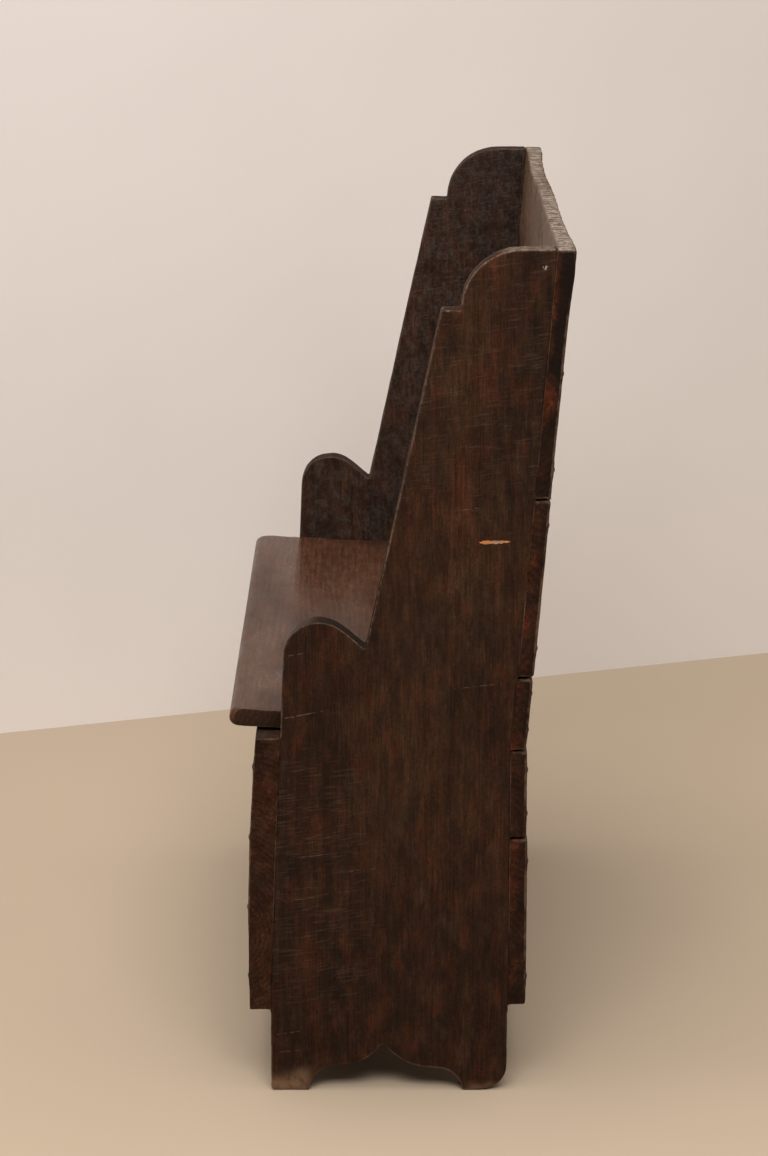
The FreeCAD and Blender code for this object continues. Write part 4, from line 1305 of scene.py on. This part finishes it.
CORNER_PARTS = 12
ROOM_HALF = 2.6
ROOM_CORNER = 0.8
ROOM_SHIFT = 0.4
FLOOR_RADIUS = 9.0
WALL_HEIGHT = 3.4


def footprint(stage):
    """A rounded square whose far side lies behind the bench, anticlockwise from above."""
    turn = stage.wall_turn
    ahead = Vector((math.cos(turn), math.sin(turn)))
    along = Vector((-ahead.y, ahead.x))
    centre = ahead * (ROOM_HALF - stage.wall_distance) + along * ROOM_SHIFT
    reach = ROOM_HALF - ROOM_CORNER
    spots = []
    for corner, (a, b) in enumerate(((1, 1), (-1, 1), (-1, -1), (1, -1))):
        for step in range(CORNER_PARTS + 1):
            angle = math.pi / 2 * (corner + step / CORNER_PARTS)
            spot = centre + ahead * (a * reach + ROOM_CORNER * math.cos(angle))
            spots.append((spot + along * (b * reach + ROOM_CORNER * math.sin(angle)))[:])
    return spots


def stage_material(name, colour, one_sided):
    """A plain matt material. A one-sided one is clear from behind."""
    material, tree = new_material(name)
    spot = add(tree, "ShaderNodeTexCoord").outputs["Object"]
    tint = between(tree, cloud(tree, spot, 1.0, 3.0, 0.55, 1.3), 0.3, 0.7, 0.97, 1.03)
    shader = add(tree, "ShaderNodeBsdfPrincipled", {
        "Base Color": scaled(tree, colour, tint), "Roughness": 0.9, "Specular IOR Level": 0.1,
    })
    surface = shader.outputs["BSDF"]
    if one_sided:
        clear = add(tree, "ShaderNodeBsdfTransparent")
        facing = add(tree, "ShaderNodeNewGeometry").outputs["Backfacing"]
        surface = add(tree, "ShaderNodeMixShader", {0: facing, 1: surface, 2: clear.outputs[0]}).outputs[0]
    add(tree, "ShaderNodeOutputMaterial", {"Surface": surface})
    return material


def stage_piece(name, spots, faces, material):
    mesh = bpy.data.meshes.new(name)
    mesh.from_pydata(spots, [], faces)
    mesh.materials.append(material)
    mesh.update()
    made = new_object(name, mesh)
    return made


def make_room(stage):
    """A round floor and a wall round the bench, which neither shades nor tints it."""
    sides = footprint(stage)
    count = len(sides)
    turns = [2 * math.pi * side / count for side in range(count)]
    disc = [(FLOOR_RADIUS * math.cos(turn), FLOOR_RADIUS * math.sin(turn), 0.0) for turn in turns]
    stage_piece("floor", disc, [tuple(range(count))], stage_material("floor plain", stage.floor, False))
    spots = [(x, y, z) for z in (0.0, WALL_HEIGHT) for x, y in sides]
    faces = [(i, count + i, count + (i + 1) % count, (i + 1) % count) for i in range(count)]
    wall = stage_piece("backdrop", spots, faces, stage_material("backdrop plain", stage.wall, True))
    wall.visible_shadow = False
    wall.visible_diffuse = False


def soft_lamp(name, spot, aim, width, height, power):
    """A rectangular lamp at a spot, turned to its aim."""
    data = bpy.data.lights.new(name, "AREA")
    data.shape = "RECTANGLE"
    data.size = width
    data.size_y = height
    data.energy = power
    lamp = new_object(name, data)
    lamp.location = spot
    lamp.rotation_euler = (Vector(aim) - Vector(spot)).to_track_quat("-Z", "Y").to_euler()


# How bright the sky is at the horizon and behind the bench, as shares of straight above.
HORIZON_SHARE = 0.03
REAR_SHARE = 0.35
SKY_COLOUR = (1.0, 0.96, 0.92, 1.0)


def make_lamps(stage):
    soft_lamp("key_light", (0.5, -0.8, 3.8), (0, 0, 0.3), 3.4, 3.0, stage.key_power)
    soft_lamp("fill_light", (3.3, 0.0, 3.8), (0, 0, 0.4), 3.0, 1.8, stage.fill_power)
    world = bpy.data.worlds.new("even light")
    world.use_nodes = True
    tree = world.node_tree
    background = tree.nodes["Background"]
    background.inputs["Color"].default_value = SKY_COLOUR
    ray = add(tree, "ShaderNodeTexCoord").outputs["Generated"]
    way = add(tree, "ShaderNodeSeparateXYZ", {0: ray}).outputs
    above = between(tree, way[2], 0.45, 1.0, HORIZON_SHARE, 1.0)
    behind = between(tree, way[1], 0.15, 0.80, 0.0, REAR_SHARE)
    strength = product(tree, calc(tree, "MAXIMUM", above, behind), stage.sky)
    tree.links.new(strength, background.inputs["Strength"])
    bpy.context.scene.world = world


CAMERA_SPOT = (4.136, -0.0144, 1.584)
CAMERA_DOWN_DEG = 14.588
CAMERA_HEADING_DEG = 90.037
CAMERA_ROLL_DEG = -0.04
FOCAL_PIXELS = 3361.9
FRAME_LONG_SIDE_PIXELS = 1156
SENSOR_MM = 36.0
CLIP_RANGE = (0.05, 60.0)


def make_camera():
    """The camera that was fitted to the photograph."""
    data = bpy.data.cameras.new("camera")
    data.sensor_width = SENSOR_MM
    data.lens = FOCAL_PIXELS / FRAME_LONG_SIDE_PIXELS * SENSOR_MM
    data.clip_start, data.clip_end = CLIP_RANGE
    camera = new_object("camera", data)
    camera.location = CAMERA_SPOT
    camera.rotation_euler = (
        math.radians(90 - CAMERA_DOWN_DEG), math.radians(CAMERA_ROLL_DEG), math.radians(CAMERA_HEADING_DEG),
    )
    bpy.context.scene.camera = camera


class HALLBENCH_OT_stage(bpy.types.Operator):
    """Makes the floor, the backdrop, the lamps and the camera"""

    bl_idname = "hallbench.stage"
    bl_label = "Stage"

    def execute(self, context):
        stage = context.scene.hallbench_stage
        make_room(stage)
        make_lamps(stage)
        make_camera()
        return {"FINISHED"}


class HALLBENCH_PT_panel(bpy.types.Panel):
    """Lists the sizes, the colours and the steps that dress the bench, in order"""

    bl_idname = "HALLBENCH_PT_panel"
    bl_label = "Hall bench"
    bl_space_type = "VIEW_3D"
    bl_region_type = "UI"
    bl_category = "Hall bench"

    def draw(self, context):
        for key in SETTINGS:
            settings = getattr(context.scene, key)
            column = self.layout.column(align=True)
            for name in settings.bl_rna.properties.keys():
                if name not in ("rna_type", "name"):
                    column.prop(settings, name)
        for step in STEPS:
            self.layout.operator(step.bl_idname)


STEPS = (
    HALLBENCH_OT_finishes, HALLBENCH_OT_end_boards, HALLBENCH_OT_front_panel, HALLBENCH_OT_back_boards,
    HALLBENCH_OT_seat, HALLBENCH_OT_box, HALLBENCH_OT_ironwork, HALLBENCH_OT_stage,
)
SETTINGS = {
    "hallbench_shape": HallBenchShape, "hallbench_colours": HallBenchColours,
    "hallbench_stage": HallBenchStage,
}
CLASSES = (*SETTINGS.values(), HALLBENCH_PT_panel, *STEPS)


def register():
    for kind in CLASSES:
        bpy.utils.register_class(kind)
    for name, kind in SETTINGS.items():
        setattr(bpy.types.Scene, name, bpy.props.PointerProperty(type=kind))


def unregister():
    for name in SETTINGS:
        delattr(bpy.types.Scene, name)
    for kind in reversed(CLASSES):
        bpy.utils.unregister_class(kind)


def main():
    register()
    bpy.context.scene.view_settings.view_transform = "Standard"
    bpy.ops.hallbench.finishes()
    bpy.ops.hallbench.end_boards()
    bpy.ops.hallbench.front_panel()
    bpy.ops.hallbench.back_boards()
    bpy.ops.hallbench.seat()
    bpy.ops.hallbench.box()
    bpy.ops.hallbench.ironwork()
    bpy.ops.hallbench.stage()


if __name__ == "__main__":
    main()
